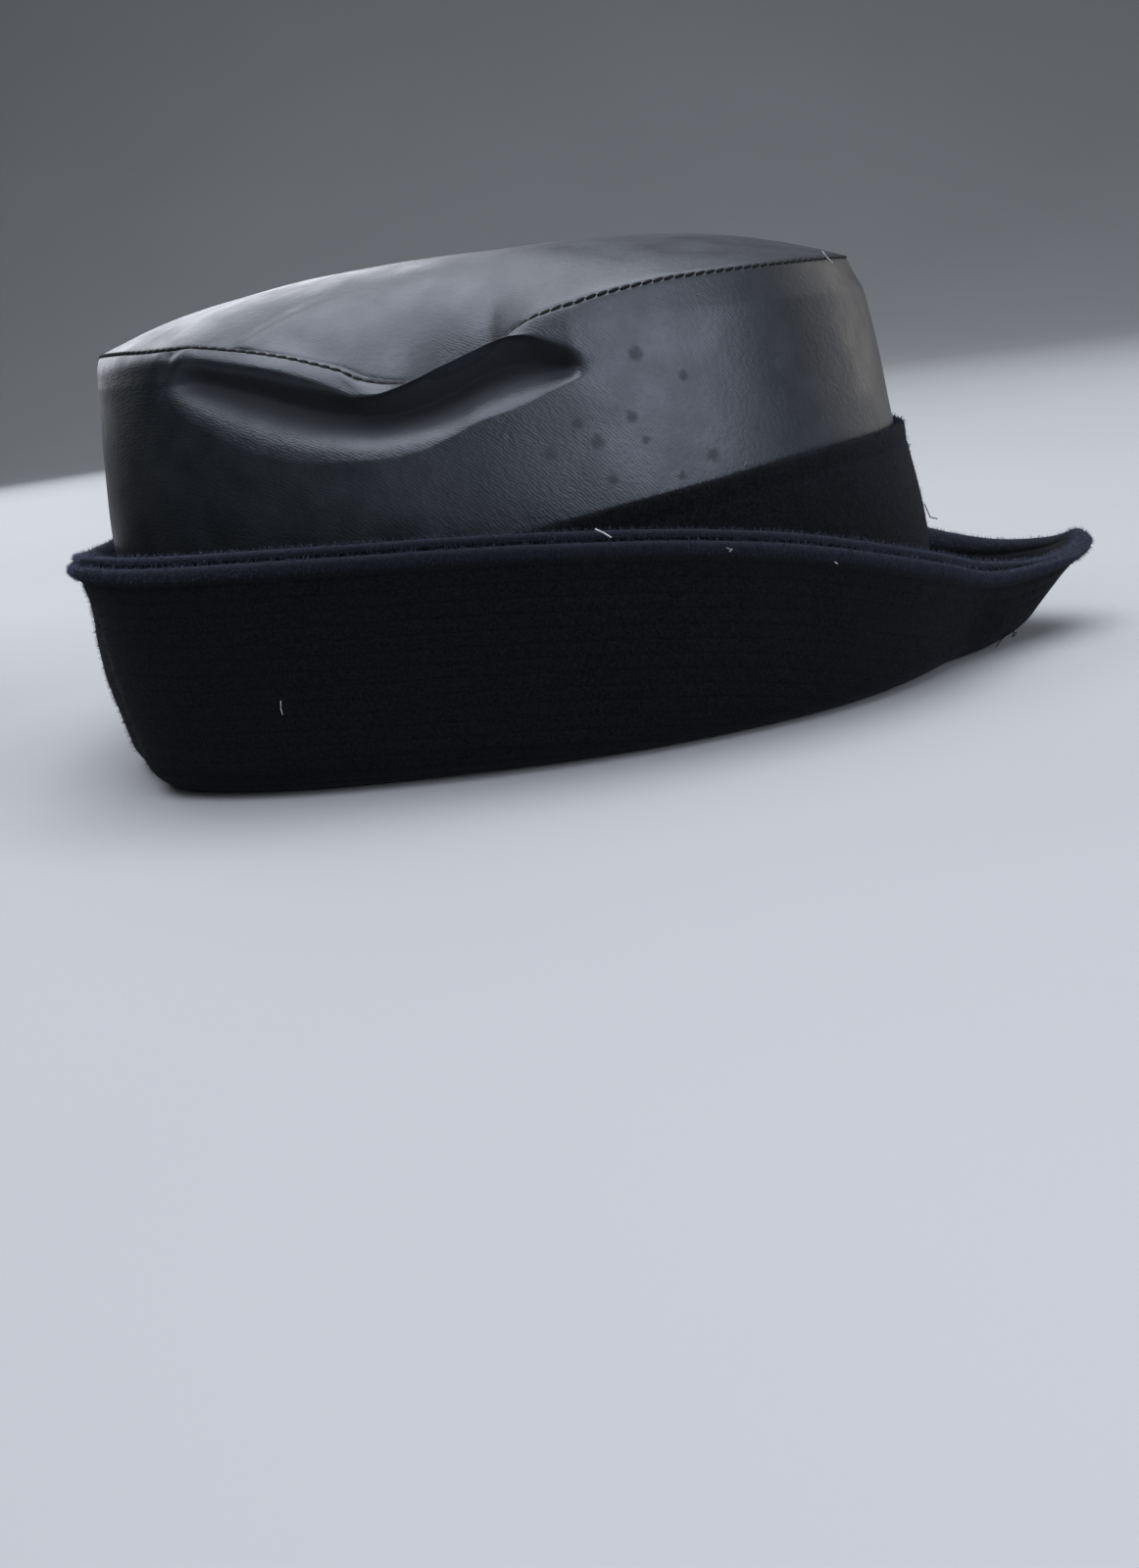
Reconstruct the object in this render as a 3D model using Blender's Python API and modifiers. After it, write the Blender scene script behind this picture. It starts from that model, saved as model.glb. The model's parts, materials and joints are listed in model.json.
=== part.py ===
"""Naval style tricorn hat: a domed crown of coated cloth, a wool band round its foot, and a
two-ply wool brim turned up all round to a pointed bow in front and two tight corners behind.

Metres, +Z up. +X is the front, where the bow points, and -Y is the wearer's right side. The hat
rests on z = 0, and the origin is the middle of its box on that plane.
"""

import math

import bmesh
import bpy

# Crown: the wall's outer size at its foot, and how the wall goes up from there
FOOT_LENGTH = 0.200
FOOT_WIDTH = 0.162
SEAM_HEIGHT = 0.1015
DOME_RISE = 0.0128
CROWN_BULGE = 0.005
CROWN_LEAN = 0.0070
CROWN_WALL = 0.0016

# Band round the crown's foot, highest in front
BAND_HEIGHT = 0.0555
BAND_WALL = 0.0018

# Brim: the gutter is the free room between band and brim, the flare how far the rim leans out, and
# the flat share how much of the gutter's floor the fold leaves level
GUTTER_ROOM = 0.005
BOW_REACH = 0.0190
BOW_LIFT = 0.0040
BRIM_FLARE = 0.0122
BRIM_HEIGHT = 0.0560
FOLD_RADIUS = 0.0110
FLAT_SHARE = 0.18
OUTER_PLY = 0.0018
INNER_PLY = 0.0018

# Dent in the wearer's right side of the crown: the seam sags over a groove shaped like a smile
DENT_BEHIND_AXIS = 0.0175
DENT_SAG = 0.0132
SAG_LENGTH = 0.120
GROOVE_DEPTH = 0.0100
GROOVE_LENGTH = 0.098
GROOVE_BELOW_SEAM = 0.0095
GROOVE_HALF_WIDTH = 0.0090
SAG_INTO_TOP = 0.036

# Free space between pieces that touch on the real hat
CLEARANCE = 0.0003

# Powers that shape the outlines, where 2 is an ellipse and more is squarer, and the dent's ends
OUTLINE_POWER = 2.15
DOME_POWER = 2.9
SAG_POWER = 1.3
GROOVE_POWER = 0.75

# Fineness of the meshes
CROWN_SEGMENTS = 72
BRIM_SEGMENTS = 66
FOLD_STEPS = 4
WALL_STEPS = 3

# Going up the crown. "side" and "ends" are shares of CROWN_BULGE that the wall stands out beyond
# its foot, at the sides and at front and back; "lean" is the share of CROWN_LEAN it has gone back.
CROWN_ROWS = (
    # height  side  ends  lean
    (0.00, 0.00, 0.00, 0.00),
    (0.15, 0.42, 0.36, 0.06),
    (0.35, 0.84, 0.60, 0.32),
    (0.55, 1.00, 0.42, 0.66),
    (0.75, 0.76, 0.00, 0.74),
    (0.92, 0.42, -0.48, 0.82),
    (1.00, 0.06, -0.92, 1.00),
)

# Round the left half of the brim, mirrored on the right. "room" is a share of GUTTER_ROOM, "bow" of
# BOW_REACH, "flare" of BRIM_FLARE, "rim" of BRIM_HEIGHT and "lift" of BOW_LIFT.
BRIM_STATIONS = (
    # name        degrees  room   bow  flare   rim   lift
    ("bow",           0.0, 1.00, 0.89, 1.54, 0.407, 1.00),
    ("bow_side",      4.6, 1.00, 0.78, 1.31, 0.371, 0.50),
    ("cheek",        12.0, 0.80, 0.45, 0.74, 0.374, 0.08),
    ("cheek_aft",    20.5, 0.50, 0.07, 0.76, 0.418, 0.08),
    ("temple",       33.5, 0.50, 0.00, 0.76, 0.545, 0.20),
    ("fore_side",    58.7, 0.43, 0.00, 0.91, 0.776, 0.16),
    ("side",         85.2, 1.00, 0.00, 1.00, 0.908, 0.00),
    ("aft_side",    110.0, 1.72, 0.00, 1.02, 0.965, 0.00),
    ("corner_fore", 131.0, 2.92, 0.00, 0.92, 0.990, 0.00),
    ("corner",      141.7, 3.10, 0.00, 0.70, 1.000, 0.00),
    ("corner_aft",  153.0, 1.50, 0.00, 0.72, 0.960, 0.00),
    ("back",        180.0, 0.40, 0.00, 0.56, 0.918, 0.00),
)

# Round the left half of the band, mirrored on the right. "height" is a share of BAND_HEIGHT.
BAND_STATIONS = (
    # degrees  height
    (0.0, 1.000),
    (38.0, 0.995),
    (60.0, 0.950),
    (90.0, 0.855),
    (130.0, 0.740),
    (180.0, 0.680),
)

# Heights of the crown wall's rows, as shares of the wall from its foot to the seam, closer together
# where the dent folds it
WALL_ROW_SHARES = (0, 0.12, 0.24, 0.36, 0.48, 0.60, 0.69, 0.76, 0.82, 0.865, 0.905, 0.95, 1)

# Heights of the band's rows, as shares of its height at each place round it
BAND_ROW_SHARES = (0.0, 0.25, 0.50, 0.75, 1.0)

# Radii of the top panel's rings, as shares of the seam's outline
TOP_RING_SHARES = (1.0, 0.93, 0.83, 0.68, 0.46, 0.20)

# Colours as the photograph's soft light shows them, in linear light, with their roughness
WOOL = ((0.012, 0.013, 0.022, 1.0), 0.85)
COATED_CLOTH = ((0.040, 0.047, 0.053, 1.0), 0.42)

# Stack of cloth between the resting surface and the crown's foot, and between crown wall and gutter
SEAT = OUTER_PLY + CLEARANCE + INNER_PLY + CLEARANCE
BAND_STACK = CLEARANCE + BAND_WALL + CLEARANCE
BRIM_STACK = OUTER_PLY + CLEARANCE + INNER_PLY


def between(low, high, share):
    return low + (high - low) * share


def smooth_share(share):
    """0 to 1 with level ends."""
    share = min(max(share, 0.0), 1.0)
    return share * share * (3 - 2 * share)


def looked_up(rows, key):
    """Row of a table at a key between its rows, column by column, along a smooth curve."""
    last = len(rows) - 1
    at = max(i for i in range(last) if rows[i][0] <= key or i == 0)
    share = (key - rows[at][0]) / (rows[at + 1][0] - rows[at][0])
    before, low = rows[max(at - 1, 0)], rows[at]
    high, after = rows[at + 1], rows[min(at + 2, last)]
    row = []
    for b, l, h, a in zip(before, low, high, after):
        row.append(catmull_rom(b, l, h, a, share))
    return row


def catmull_rom(before, low, high, after, share):
    """Value on a smooth curve through low and high."""
    return 0.5 * (
        2 * low
        + (high - before) * share
        + (2 * before - 5 * low + 4 * high - after) * share**2
        + (3 * (low - high) + after - before) * share**3
    )


def outline_radius(angle, front, back, side):
    """Distance from the hat's axis to an oval outline, given its reach forward, back and sideways."""
    along = abs(math.cos(angle)) / (front if math.cos(angle) > 0 else back)
    across = abs(math.sin(angle)) / side
    return (along**OUTLINE_POWER + across**OUTLINE_POWER) ** (-1 / OUTLINE_POWER)


def foot_radius(angle):
    return outline_radius(angle, FOOT_LENGTH / 2, FOOT_LENGTH / 2, FOOT_WIDTH / 2)


def crown_radius(angle, height):
    """Distance from the axis to the crown wall's outer face, at a height given as a share."""
    _, side, ends, lean = looked_up(CROWN_ROWS, height)
    end_bulge = CROWN_BULGE * ends
    return outline_radius(
        angle,
        FOOT_LENGTH / 2 + end_bulge - CROWN_LEAN * lean,
        FOOT_LENGTH / 2 + end_bulge + CROWN_LEAN * lean,
        FOOT_WIDTH / 2 + CROWN_BULGE * side,
    )


def brim_stations():
    """The brim's table all the way round, as closed columns."""
    left = [station[1:] for station in BRIM_STATIONS]
    right = [(360 - row[0],) + row[1:] for row in left[-2:0:-1]]
    return left + right


def brim_at(turn):
    """Angle and sizes of the brim at a place round it, where turn goes from 0 to 1."""
    rows = brim_stations()
    count = len(rows)
    at = int(turn * count)
    share = turn * count - at
    picked = []
    for step in (-1, 0, 1, 2):
        laps, row = divmod(at + step, count)
        picked.append((rows[row][0] + 360 * laps,) + rows[row][1:])
    degrees, room, bow, flare, rim, lift = [catmull_rom(*column, share) for column in zip(*picked)]
    return (
        math.radians(degrees),
        GUTTER_ROOM * room + BOW_REACH * bow,
        BRIM_FLARE * flare,
        BRIM_HEIGHT * rim,
        BOW_LIFT * max(lift, 0.0),
    )


def brim_reach(turn):
    """Distance from the axis to the rim."""
    angle, room, flare, _, _ = brim_at(turn)
    return foot_radius(angle) + BAND_STACK + room + BRIM_STACK + flare


# Places the crown's axis so that the bow and the back of the rim are equally far from the origin
AXIS_X = (brim_reach(0.5) - brim_reach(0.0)) / 2


def placed(angle, radius, z):
    return (AXIS_X + radius * math.cos(angle), radius * math.sin(angle), z)


def brim_section(angle, room, flare, rim_height, lift):
    """The outer face from below the crown wall out along the gutter, round the fold and up."""
    foot = foot_radius(angle)
    seat_edge = foot + BAND_STACK
    fold = (seat_edge + room + BRIM_STACK, lift)
    rim = (fold[0] + flare, rim_height)
    floor_angle = math.atan2(lift, fold[0] - seat_edge)
    wall_angle = math.atan2(rim[1] - lift, flare)
    half_turn = (wall_angle - floor_angle) / 2
    floor_length = math.hypot(fold[0] - seat_edge, lift)
    radius = min(FOLD_RADIUS, (1 - FLAT_SHARE) * floor_length / math.tan(half_turn))
    tangent = radius * math.tan(half_turn)
    centre = (
        fold[0] - tangent * math.cos(floor_angle) - radius * math.sin(floor_angle),
        fold[1] - tangent * math.sin(floor_angle) + radius * math.cos(floor_angle),
    )
    points = [(foot - CROWN_WALL, 0.0), (seat_edge, 0.0)]
    for step in range(FOLD_STEPS + 1):
        slope = floor_angle + 2 * half_turn * step / FOLD_STEPS
        points.append((centre[0] + radius * math.sin(slope), centre[1] - radius * math.cos(slope)))
    last = points[-1]
    for step in range(1, WALL_STEPS + 1):
        share = step / WALL_STEPS
        points.append((between(last[0], rim[0], share), between(last[1], rim[1], share)))
    return points


def sag_at(x, y):
    """How far the crown's seam has sunk at a place on the right side, and none on the left."""
    if y >= 0:
        return 0.0
    share = 2 * abs(x - AXIS_X + DENT_BEHIND_AXIS) / SAG_LENGTH
    return DENT_SAG * smooth_share(1 - share) ** SAG_POWER


def groove_at(x, y):
    """Depth of the groove at its lowest line, level along the middle with rounded ends."""
    if y >= 0:
        return 0.0
    share = 2 * abs(x - AXIS_X + DENT_BEHIND_AXIS) / GROOVE_LENGTH
    return GROOVE_DEPTH * max(1 - share**2, 0.0) ** GROOVE_POWER


def crown_point(angle, height):
    """Point of the crown wall's outer face with the dent, at a height given as a share."""
    radius = crown_radius(angle, height)
    x, y, z = placed(angle, radius, SEAM_HEIGHT * height)
    sag = sag_at(x, y)
    below = SEAM_HEIGHT - z
    squeezed = GROOVE_HALF_WIDTH + sag
    if below <= GROOVE_BELOW_SEAM:
        sunk = below + sag
    elif below <= GROOVE_BELOW_SEAM + squeezed:
        past = (below - GROOVE_BELOW_SEAM) / squeezed
        sunk = GROOVE_BELOW_SEAM + sag + past * GROOVE_HALF_WIDTH
    else:
        sunk = below
    from_groove = (sunk - sag - GROOVE_BELOW_SEAM) / GROOVE_HALF_WIDTH
    inward = groove_at(x, y) * max(1 - from_groove**2, 0.0) ** 2
    return placed(angle, radius - inward, SEAM_HEIGHT - sunk)


def top_point(angle, ring):
    """Point of the top panel's outer face, on a ring given as a share of the seam's outline."""
    edge = crown_radius(angle, 1.0)
    x, y, _ = placed(angle, edge, SEAM_HEIGHT)
    inside = edge * (1 - ring)
    sag = sag_at(x, y) * (1 - min(inside / SAG_INTO_TOP, 1.0)) ** 2
    rise = DOME_RISE * (1 - ring**DOME_POWER)
    return placed(angle, edge * ring, SEAM_HEIGHT + rise - sag)


def turned_sheet(rings):
    """Open sheet through rings of points, made by extruding a circle's edge from ring to ring."""
    sheet = bmesh.new()
    bmesh.ops.create_circle(sheet, radius=1.0, segments=len(rings[0]))
    edges = list(sheet.edges)
    verts = in_order(edges)
    set_points(verts, rings[0])
    for ring in rings[1:]:
        made = bmesh.ops.extrude_edge_only(sheet, edges=edges)["geom"]
        new_edges = [item for item in made if isinstance(item, bmesh.types.BMEdge)]
        edges = [edge for edge in new_edges if len(edge.link_faces) == 1]
        new_verts = {end for edge in edges for end in edge.verts}
        verts = [next_up(vert, new_verts) for vert in verts]
        set_points(verts, ring)
    return sheet, verts


def in_order(edges):
    """Vertices of a closed loop of edges, one after another round the axis."""
    verts = {vert for edge in edges for vert in edge.verts}
    return sorted(verts, key=lambda vert: math.atan2(vert.co.y, vert.co.x) % math.tau)


def next_up(vert, new_verts):
    """The new vertex that an extruded edge joins to this one."""
    ends = (edge.other_vert(vert) for edge in vert.link_edges)
    return next(end for end in ends if end in new_verts)


def set_points(verts, points):
    for vert, point in zip(verts, points):
        vert.co = point


def finished(name, sheet, material, collection):
    bmesh.ops.recalc_face_normals(sheet, faces=sheet.faces)
    mesh = bpy.data.meshes.new(name)
    sheet.to_mesh(mesh)
    sheet.free()
    mesh.shade_smooth()
    mesh.materials.append(material)
    piece = bpy.data.objects.new(name, mesh)
    collection.objects.link(piece)
    return piece


def thickened(piece, thickness, start):
    """Gives a sheet its cloth, from start to start plus thickness along its outward normals."""
    wall = piece.modifiers.new("Cloth", "SOLIDIFY")
    wall.thickness = thickness
    wall.offset = 1 + 2 * start / thickness
    wall.use_even_offset = True
    wall.show_render = wall.show_viewport
    return piece


def crown_angles():
    return [math.tau * step / CROWN_SEGMENTS for step in range(CROWN_SEGMENTS)]


def crown_side(material, collection):
    """The crown's wall, from its seat on the brim to just below the top panel."""
    low = SEAT / SEAM_HEIGHT
    high = 1 - (CROWN_WALL + CLEARANCE) / SEAM_HEIGHT
    rings = []
    for row in WALL_ROW_SHARES:
        height = between(low, high, row)
        rings.append([crown_point(angle, height) for angle in crown_angles()])
    sheet, _ = turned_sheet(rings)
    piece = finished("crown_side", sheet, material, collection)
    return thickened(piece, CROWN_WALL, -CROWN_WALL)


def crown_top(material, collection):
    """The domed top panel, whose rim lies on the wall's upper edge all round the seam."""
    rings = [[top_point(angle, ring) for angle in crown_angles()] for ring in TOP_RING_SHARES]
    sheet, last = turned_sheet(rings)
    centre = sheet.verts.new(placed(0.0, 0.0, SEAM_HEIGHT + DOME_RISE))
    for step, vert in enumerate(last):
        sheet.faces.new((vert, last[(step + 1) % len(last)], centre))
    bmesh.ops.recalc_face_normals(sheet, faces=sheet.faces)
    grown = bmesh.ops.extrude_face_region(sheet, geom=sheet.faces[:], use_keep_orig=True)
    under = [item for item in grown["geom"] if isinstance(item, bmesh.types.BMVert)]
    bmesh.ops.translate(sheet, verts=under, vec=(0, 0, -CROWN_WALL))
    return finished("crown_top", sheet, material, collection)


def hat_band(material, collection):
    """The wool band outside the crown's wall, from the brim up to an edge that falls backwards."""
    low = (SEAT + CLEARANCE) / SEAM_HEIGHT
    rings = []
    for share in BAND_ROW_SHARES:
        ring = []
        for angle in crown_angles():
            degrees = math.degrees(angle)
            _, top = looked_up(BAND_STATIONS, min(degrees, 360 - degrees))
            high = low + BAND_HEIGHT * top / SEAM_HEIGHT
            ring.append(crown_point(angle, between(low, high, share)))
        rings.append(ring)
    sheet, _ = turned_sheet(rings)
    piece = finished("hat_band", sheet, material, collection)
    return thickened(piece, BAND_WALL, CLEARANCE)


def brim_ply(name, depth, thickness, material, collection):
    """One layer of the brim, whose outer face lies this deep below the brim's outer face."""
    columns = []
    for step in range(BRIM_SEGMENTS):
        angle, room, flare, rim_height, lift = brim_at(step / BRIM_SEGMENTS)
        section = brim_section(angle, room, flare, rim_height, lift)
        columns.append([placed(angle, radius, z) for radius, z in section])
    sheet, _ = turned_sheet(list(zip(*columns)))
    piece = finished(name, sheet, material, collection)
    return thickened(piece, thickness, -depth - thickness)


def material_of(name, finish):
    colour, roughness = finish
    material = bpy.data.materials.new(name)
    material.use_nodes = True
    shader = material.node_tree.nodes["Principled BSDF"]
    shader.inputs["Base Color"].default_value = colour
    shader.inputs["Roughness"].default_value = roughness
    shader.inputs["Metallic"].default_value = 0.0
    return material


def build_hat():
    for old in list(bpy.data.objects):
        bpy.data.objects.remove(old, do_unlink=True)
    collection = bpy.data.collections.new("tricorn_hat")
    bpy.context.scene.collection.children.link(collection)
    coated = [material_of(name, COATED_CLOTH) for name in ("crown_side_cloth", "crown_top_cloth")]
    wool = [material_of(name, WOOL) for name in ("band_wool", "outer_wool", "inner_wool")]
    crown_side(coated[0], collection)
    crown_top(coated[1], collection)
    hat_band(wool[0], collection)
    brim_ply("brim_outer", 0.0, OUTER_PLY, wool[1], collection)
    brim_ply("brim_inner", OUTER_PLY + CLEARANCE, INNER_PLY, wool[2], collection)


build_hat()
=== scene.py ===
"""Looks of a naval style tricorn hat: a crown of coated cloth with a dent in its right side, a
wool band round its foot, and a stitched wool brim with a rolled edge.

Metres, +Z up. +X is the front and -Y the wearer's right side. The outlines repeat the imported
model's, so that each cloth lies where its solid is. Each cloth is a fine grid bent round the hat,
with a UV map in metres: u runs round the hat and v down the cloth, from its upper edge.
"""

import json
import math

import bmesh
import bpy
import numpy as np
from mathutils import Matrix, Vector, noise

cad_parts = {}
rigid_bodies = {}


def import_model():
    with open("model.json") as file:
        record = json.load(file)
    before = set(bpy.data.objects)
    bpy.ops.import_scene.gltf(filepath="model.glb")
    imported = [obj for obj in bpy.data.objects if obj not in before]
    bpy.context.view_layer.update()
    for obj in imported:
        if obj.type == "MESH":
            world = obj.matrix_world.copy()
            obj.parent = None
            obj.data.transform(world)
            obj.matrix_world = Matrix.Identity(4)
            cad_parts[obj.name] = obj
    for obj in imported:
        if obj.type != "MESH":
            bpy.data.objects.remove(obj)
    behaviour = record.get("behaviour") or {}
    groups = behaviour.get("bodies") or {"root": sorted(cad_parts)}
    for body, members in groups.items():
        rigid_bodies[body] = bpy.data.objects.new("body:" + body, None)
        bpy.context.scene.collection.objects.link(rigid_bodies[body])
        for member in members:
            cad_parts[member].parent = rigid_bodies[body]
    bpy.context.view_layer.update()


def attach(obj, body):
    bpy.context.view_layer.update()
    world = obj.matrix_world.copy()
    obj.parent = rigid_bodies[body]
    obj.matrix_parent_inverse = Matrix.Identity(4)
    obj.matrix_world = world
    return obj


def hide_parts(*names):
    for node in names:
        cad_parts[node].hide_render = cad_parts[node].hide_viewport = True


MM = 0.001

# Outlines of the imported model, in metres
FOOT_LENGTH = 0.200
FOOT_WIDTH = 0.162
SEAM_HEIGHT = 0.1015
DOME_RISE = 0.0128
CROWN_BULGE = 0.005
CROWN_LEAN = 0.0070
CROWN_WALL = 0.0016
BAND_HEIGHT = 0.0555
BAND_WALL = 0.0018
GUTTER_ROOM = 0.005
BOW_REACH = 0.0190
BOW_LIFT = 0.0040
BRIM_FLARE = 0.0122
BRIM_HEIGHT = 0.0560
FOLD_RADIUS = 0.0110
FLAT_SHARE = 0.18
PLY = 0.0018
SAG_INTO_TOP = 0.036
CLEARANCE = 0.0003
OUTLINE_POWER = 2.15
DOME_POWER = 2.9

# Sections of the crown, up from its foot: how far its sides and its ends bulge and how far it leans
# back, as shares
CROWN_ROWS = (
    # height  side  ends  lean
    (0.00, 0.00, 0.00, 0.00),
    (0.15, 0.42, 0.36, 0.06),
    (0.35, 0.84, 0.60, 0.32),
    (0.55, 1.00, 0.42, 0.66),
    (0.75, 0.76, 0.00, 0.74),
    (0.92, 0.42, -0.48, 0.82),
    (1.00, 0.06, -0.92, 1.00),
)

# Sections of the brim round its left half, as shares of the sizes above
BRIM_STATIONS = (
    # name        degrees  room   bow  flare   rim   lift
    ("bow",           0.0, 1.00, 0.89, 1.54, 0.407, 1.00),
    ("bow_side",      4.6, 1.00, 0.78, 1.31, 0.371, 0.50),
    ("cheek",        12.0, 0.80, 0.45, 0.74, 0.374, 0.08),
    ("cheek_aft",    20.5, 0.50, 0.07, 0.76, 0.418, 0.08),
    ("temple",       33.5, 0.50, 0.00, 0.76, 0.545, 0.20),
    ("fore_side",    58.7, 0.43, 0.00, 0.91, 0.776, 0.16),
    ("side",         85.2, 1.00, 0.00, 1.00, 0.908, 0.00),
    ("aft_side",    110.0, 1.72, 0.00, 1.02, 0.965, 0.00),
    ("corner_fore", 131.0, 2.92, 0.00, 0.92, 0.990, 0.00),
    ("corner",      141.7, 3.10, 0.00, 0.70, 1.000, 0.00),
    ("corner_aft",  153.0, 1.50, 0.00, 0.72, 0.960, 0.00),
    ("back",        180.0, 0.40, 0.00, 0.56, 0.918, 0.00),
)

# The dent in the right side. The strip below the seam runs down to a lip, the cloth folds in under
# it to a groove, and slopes out again to the dent's lower edge. Each has its depth below the seam's
# level and, apart from the edge, its inset from the plain wall. Millimetres. Crisp is 1 where the
# lip is a sharp ridge.
DENT_STATIONS = (
    # degrees  seam  inset  lip inset  groove inset  edge  crisp
    (40.0,      0.0,  0.0,   6.0,  0.0,   10.0,   0.0, 16.0,  0.0),
    (60.0,      0.2,  0.0,   8.0,  0.0,   12.0,   0.0, 17.0,  0.0),
    (68.0,      1.0,  0.0,  10.5,  0.0,   14.0,   0.0, 18.0,  0.0),
    (74.5,      2.2,  0.0,  12.2,  0.0,   15.6,   0.0, 18.6,  0.0),
    (77.2,      3.0,  0.2,  12.8,  0.0,   16.2,   0.3, 18.9,  0.0),
    (77.9,      3.1,  0.3,  12.2,  0.0,   16.1,   2.6, 19.1,  0.0),
    (79.0,      3.4,  0.5,  11.2,  0.2,   15.9,   4.8, 19.5,  0.0),
    (80.5,      3.9,  0.8,  10.3,  0.4,   15.6,   5.9, 20.2,  0.1),
    (82.3,      4.5,  1.2,   9.4,  0.6,   15.2,   6.6, 21.0,  0.4),
    (84.5,      5.7,  1.9,   8.6,  0.9,   14.8,   7.1, 22.2,  0.8),
    (87.0,      7.8,  3.5,   8.3,  1.2,   14.8,   7.6, 23.4,  1.0),
    (90.0,     11.5,  5.6,   9.1,  1.5,   15.5,   8.0, 24.3,  1.0),
    (93.0,     13.7,  6.6,  10.4,  1.7,   16.7,   8.2, 25.2,  1.0),
    (96.0,     15.3,  7.2,  11.8,  1.7,   18.2,   8.4, 27.0,  1.0),
    (99.0,     16.3,  7.2,  13.2,  1.7,   19.6,   8.4, 28.6,  1.0),
    (102.0,    16.0,  6.0,  14.7,  1.6,   20.8,   8.1, 29.8,  0.9),
    (105.0,    15.2,  4.8,  16.0,  1.6,   21.5,   7.8, 30.3,  0.8),
    (108.0,    14.4,  4.4,  16.8,  1.6,   21.8,   7.4, 30.4,  0.6),
    (111.0,    13.0,  4.2,  16.6,  1.6,   21.5,   7.0, 30.2,  0.4),
    (114.0,    10.6,  4.0,  14.8,  1.6,   20.6,   6.6, 29.8,  0.2),
    (118.0,     8.4,  3.8,  12.2,  1.6,   19.2,   6.2, 29.4,  0.1),
    (122.0,     6.5,  3.6,   9.9,  1.5,   17.2,   5.8, 28.2,  0.0),
    (127.0,     4.6,  3.2,   7.6,  1.4,   14.4,   5.3, 25.5,  0.0),
    (132.0,     3.0,  2.8,   5.8,  1.2,   11.8,   4.7, 21.8,  0.0),
    (135.5,     2.0,  2.5,   4.7,  0.9,   10.0,   4.2, 18.8,  0.0),
    (138.0,     1.5,  2.3,   4.3,  0.6,    9.2,   3.2, 16.4,  0.0),
    (139.6,     1.3,  2.2,   4.2,  0.3,    9.2,   1.8, 15.0,  0.0),
    (141.4,     1.2,  2.1,   4.2,  0.0,    9.4,   0.3, 14.0,  0.0),
    (147.0,     1.0,  2.1,   4.4,  0.0,   10.0,   0.0, 14.0,  0.0),
    (156.0,     0.3,  2.0,   4.4,  0.0,   10.0,   0.0, 14.0,  0.0),
    (168.0,     0.0,  1.2,   4.4,  0.0,   10.0,   0.0, 14.0,  0.0),
    (180.0,     0.0,  0.0,   4.4,  0.0,   10.0,   0.0, 14.0,  0.0),
)

# Points of the dent's section between its lines: from the seam to the lip, on to the groove, and on
# to the edge. Each is a share of the way down and a share of the way inwards or back out, first for
# a soft fold and then for a crisp lip or a firm slope.
DENT_PROFILE = (
    (((0.30, 0.50), (0.30, 0.50)), ((0.64, 0.88), (0.80, 0.88))),
    (((0.26, 0.16), (0.12, 0.20)), ((0.52, 0.50), (0.42, 0.50)), ((0.76, 0.80), (0.76, 0.80))),
    (
        ((0.14, 0.18), (0.18, 0.17)),
        ((0.31, 0.43), (0.42, 0.45)),
        ((0.52, 0.69), (0.66, 0.74)),
        ((0.75, 0.89), (0.86, 0.92)),
    ),
)
# The same for the lining, from the seam to the groove and on to the edge
LINING_PROFILE = ((((0.5, 0.8), (0.5, 0.8)),), (((0.5, 0.5), (0.5, 0.5)),))
# Degrees at which the slope under the groove turns from firm to soft
FIRM_UNTIL = 94.0
SOFT_FROM = 106.0
# Away from the seam the top panel evens out the dent over these degrees to each side, and does so
# wholly from this share of the sag's reach inwards
EVENED_OVER = range(-12, 13, 3)
EVENED_FROM = 0.45
# Depth from which the groove's painted shade is full
FULL_SHADE_DEPTH = 4 * MM

# Height of the band round the crown, as shares of its height in front
BAND_STATIONS = (
    # degrees  height
    (0.0, 1.000),
    (38.0, 0.995),
    (60.0, 0.950),
    (90.0, 0.855),
    (130.0, 0.740),
    (180.0, 0.680),
)

SEAT = 2 * (PLY + CLEARANCE)
BAND_STACK = CLEARANCE + BAND_WALL + CLEARANCE
BRIM_STACK = PLY + CLEARANCE + PLY

# Edges and stitching of the wool
EDGE_PUFF = 0.4 * MM
EDGE_HEIGHT = 1.5 * MM
BAND_EDGE_PUFF = 0.2 * MM
BAND_EDGE_HEIGHT = 1.2 * MM
PUFF_REACH = 4 * MM
EDGE_ROUNDNESS = 0.75
INNER_RISE = 1.9 * MM
RIM_FLARE = 1.3 * MM
RIM_FLARE_HEIGHT = 10 * MM
FIRST_ROW = 4.7 * MM
ROW_PITCH = 3.5 * MM
ROW_RELIEF = 0.16 * MM
STITCH_DIP = 0.3 * MM
STITCH_HALF_WIDTH = 1.1 * MM

# Degrees from the bow at which the brim's two plies have parted, and over which they part
PARTED_FROM = 19.2
PARTING = 12.0

# Soft waves of the cloths: height, width, and distance from a sewn edge to their full height
BRIM_WAVE = 0.6 * MM
BRIM_WAVE_WIDTH = 40 * MM
BRIM_WAVE_REACH = 45 * MM
CROWN_WAVE = 0.4 * MM
CROWN_WAVE_WIDTH = 22 * MM
CROWN_WAVE_REACH = 12 * MM

# Hollow under the rim behind the corners, where the wall stands more upright: distance down from
# the rim and depth, in millimetres
FLANK_HOLLOW = (
    (0.0, 1.5),
    (4.0, 2.4),
    (8.0, 2.4),
    (12.0, 2.0),
    (20.0, 0.4),
    (30.0, -0.5),
    (46.0, 0.0),
)
FLANK_DEGREES = 159.0
FLANK_HALF_WIDTH = 26.0

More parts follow.
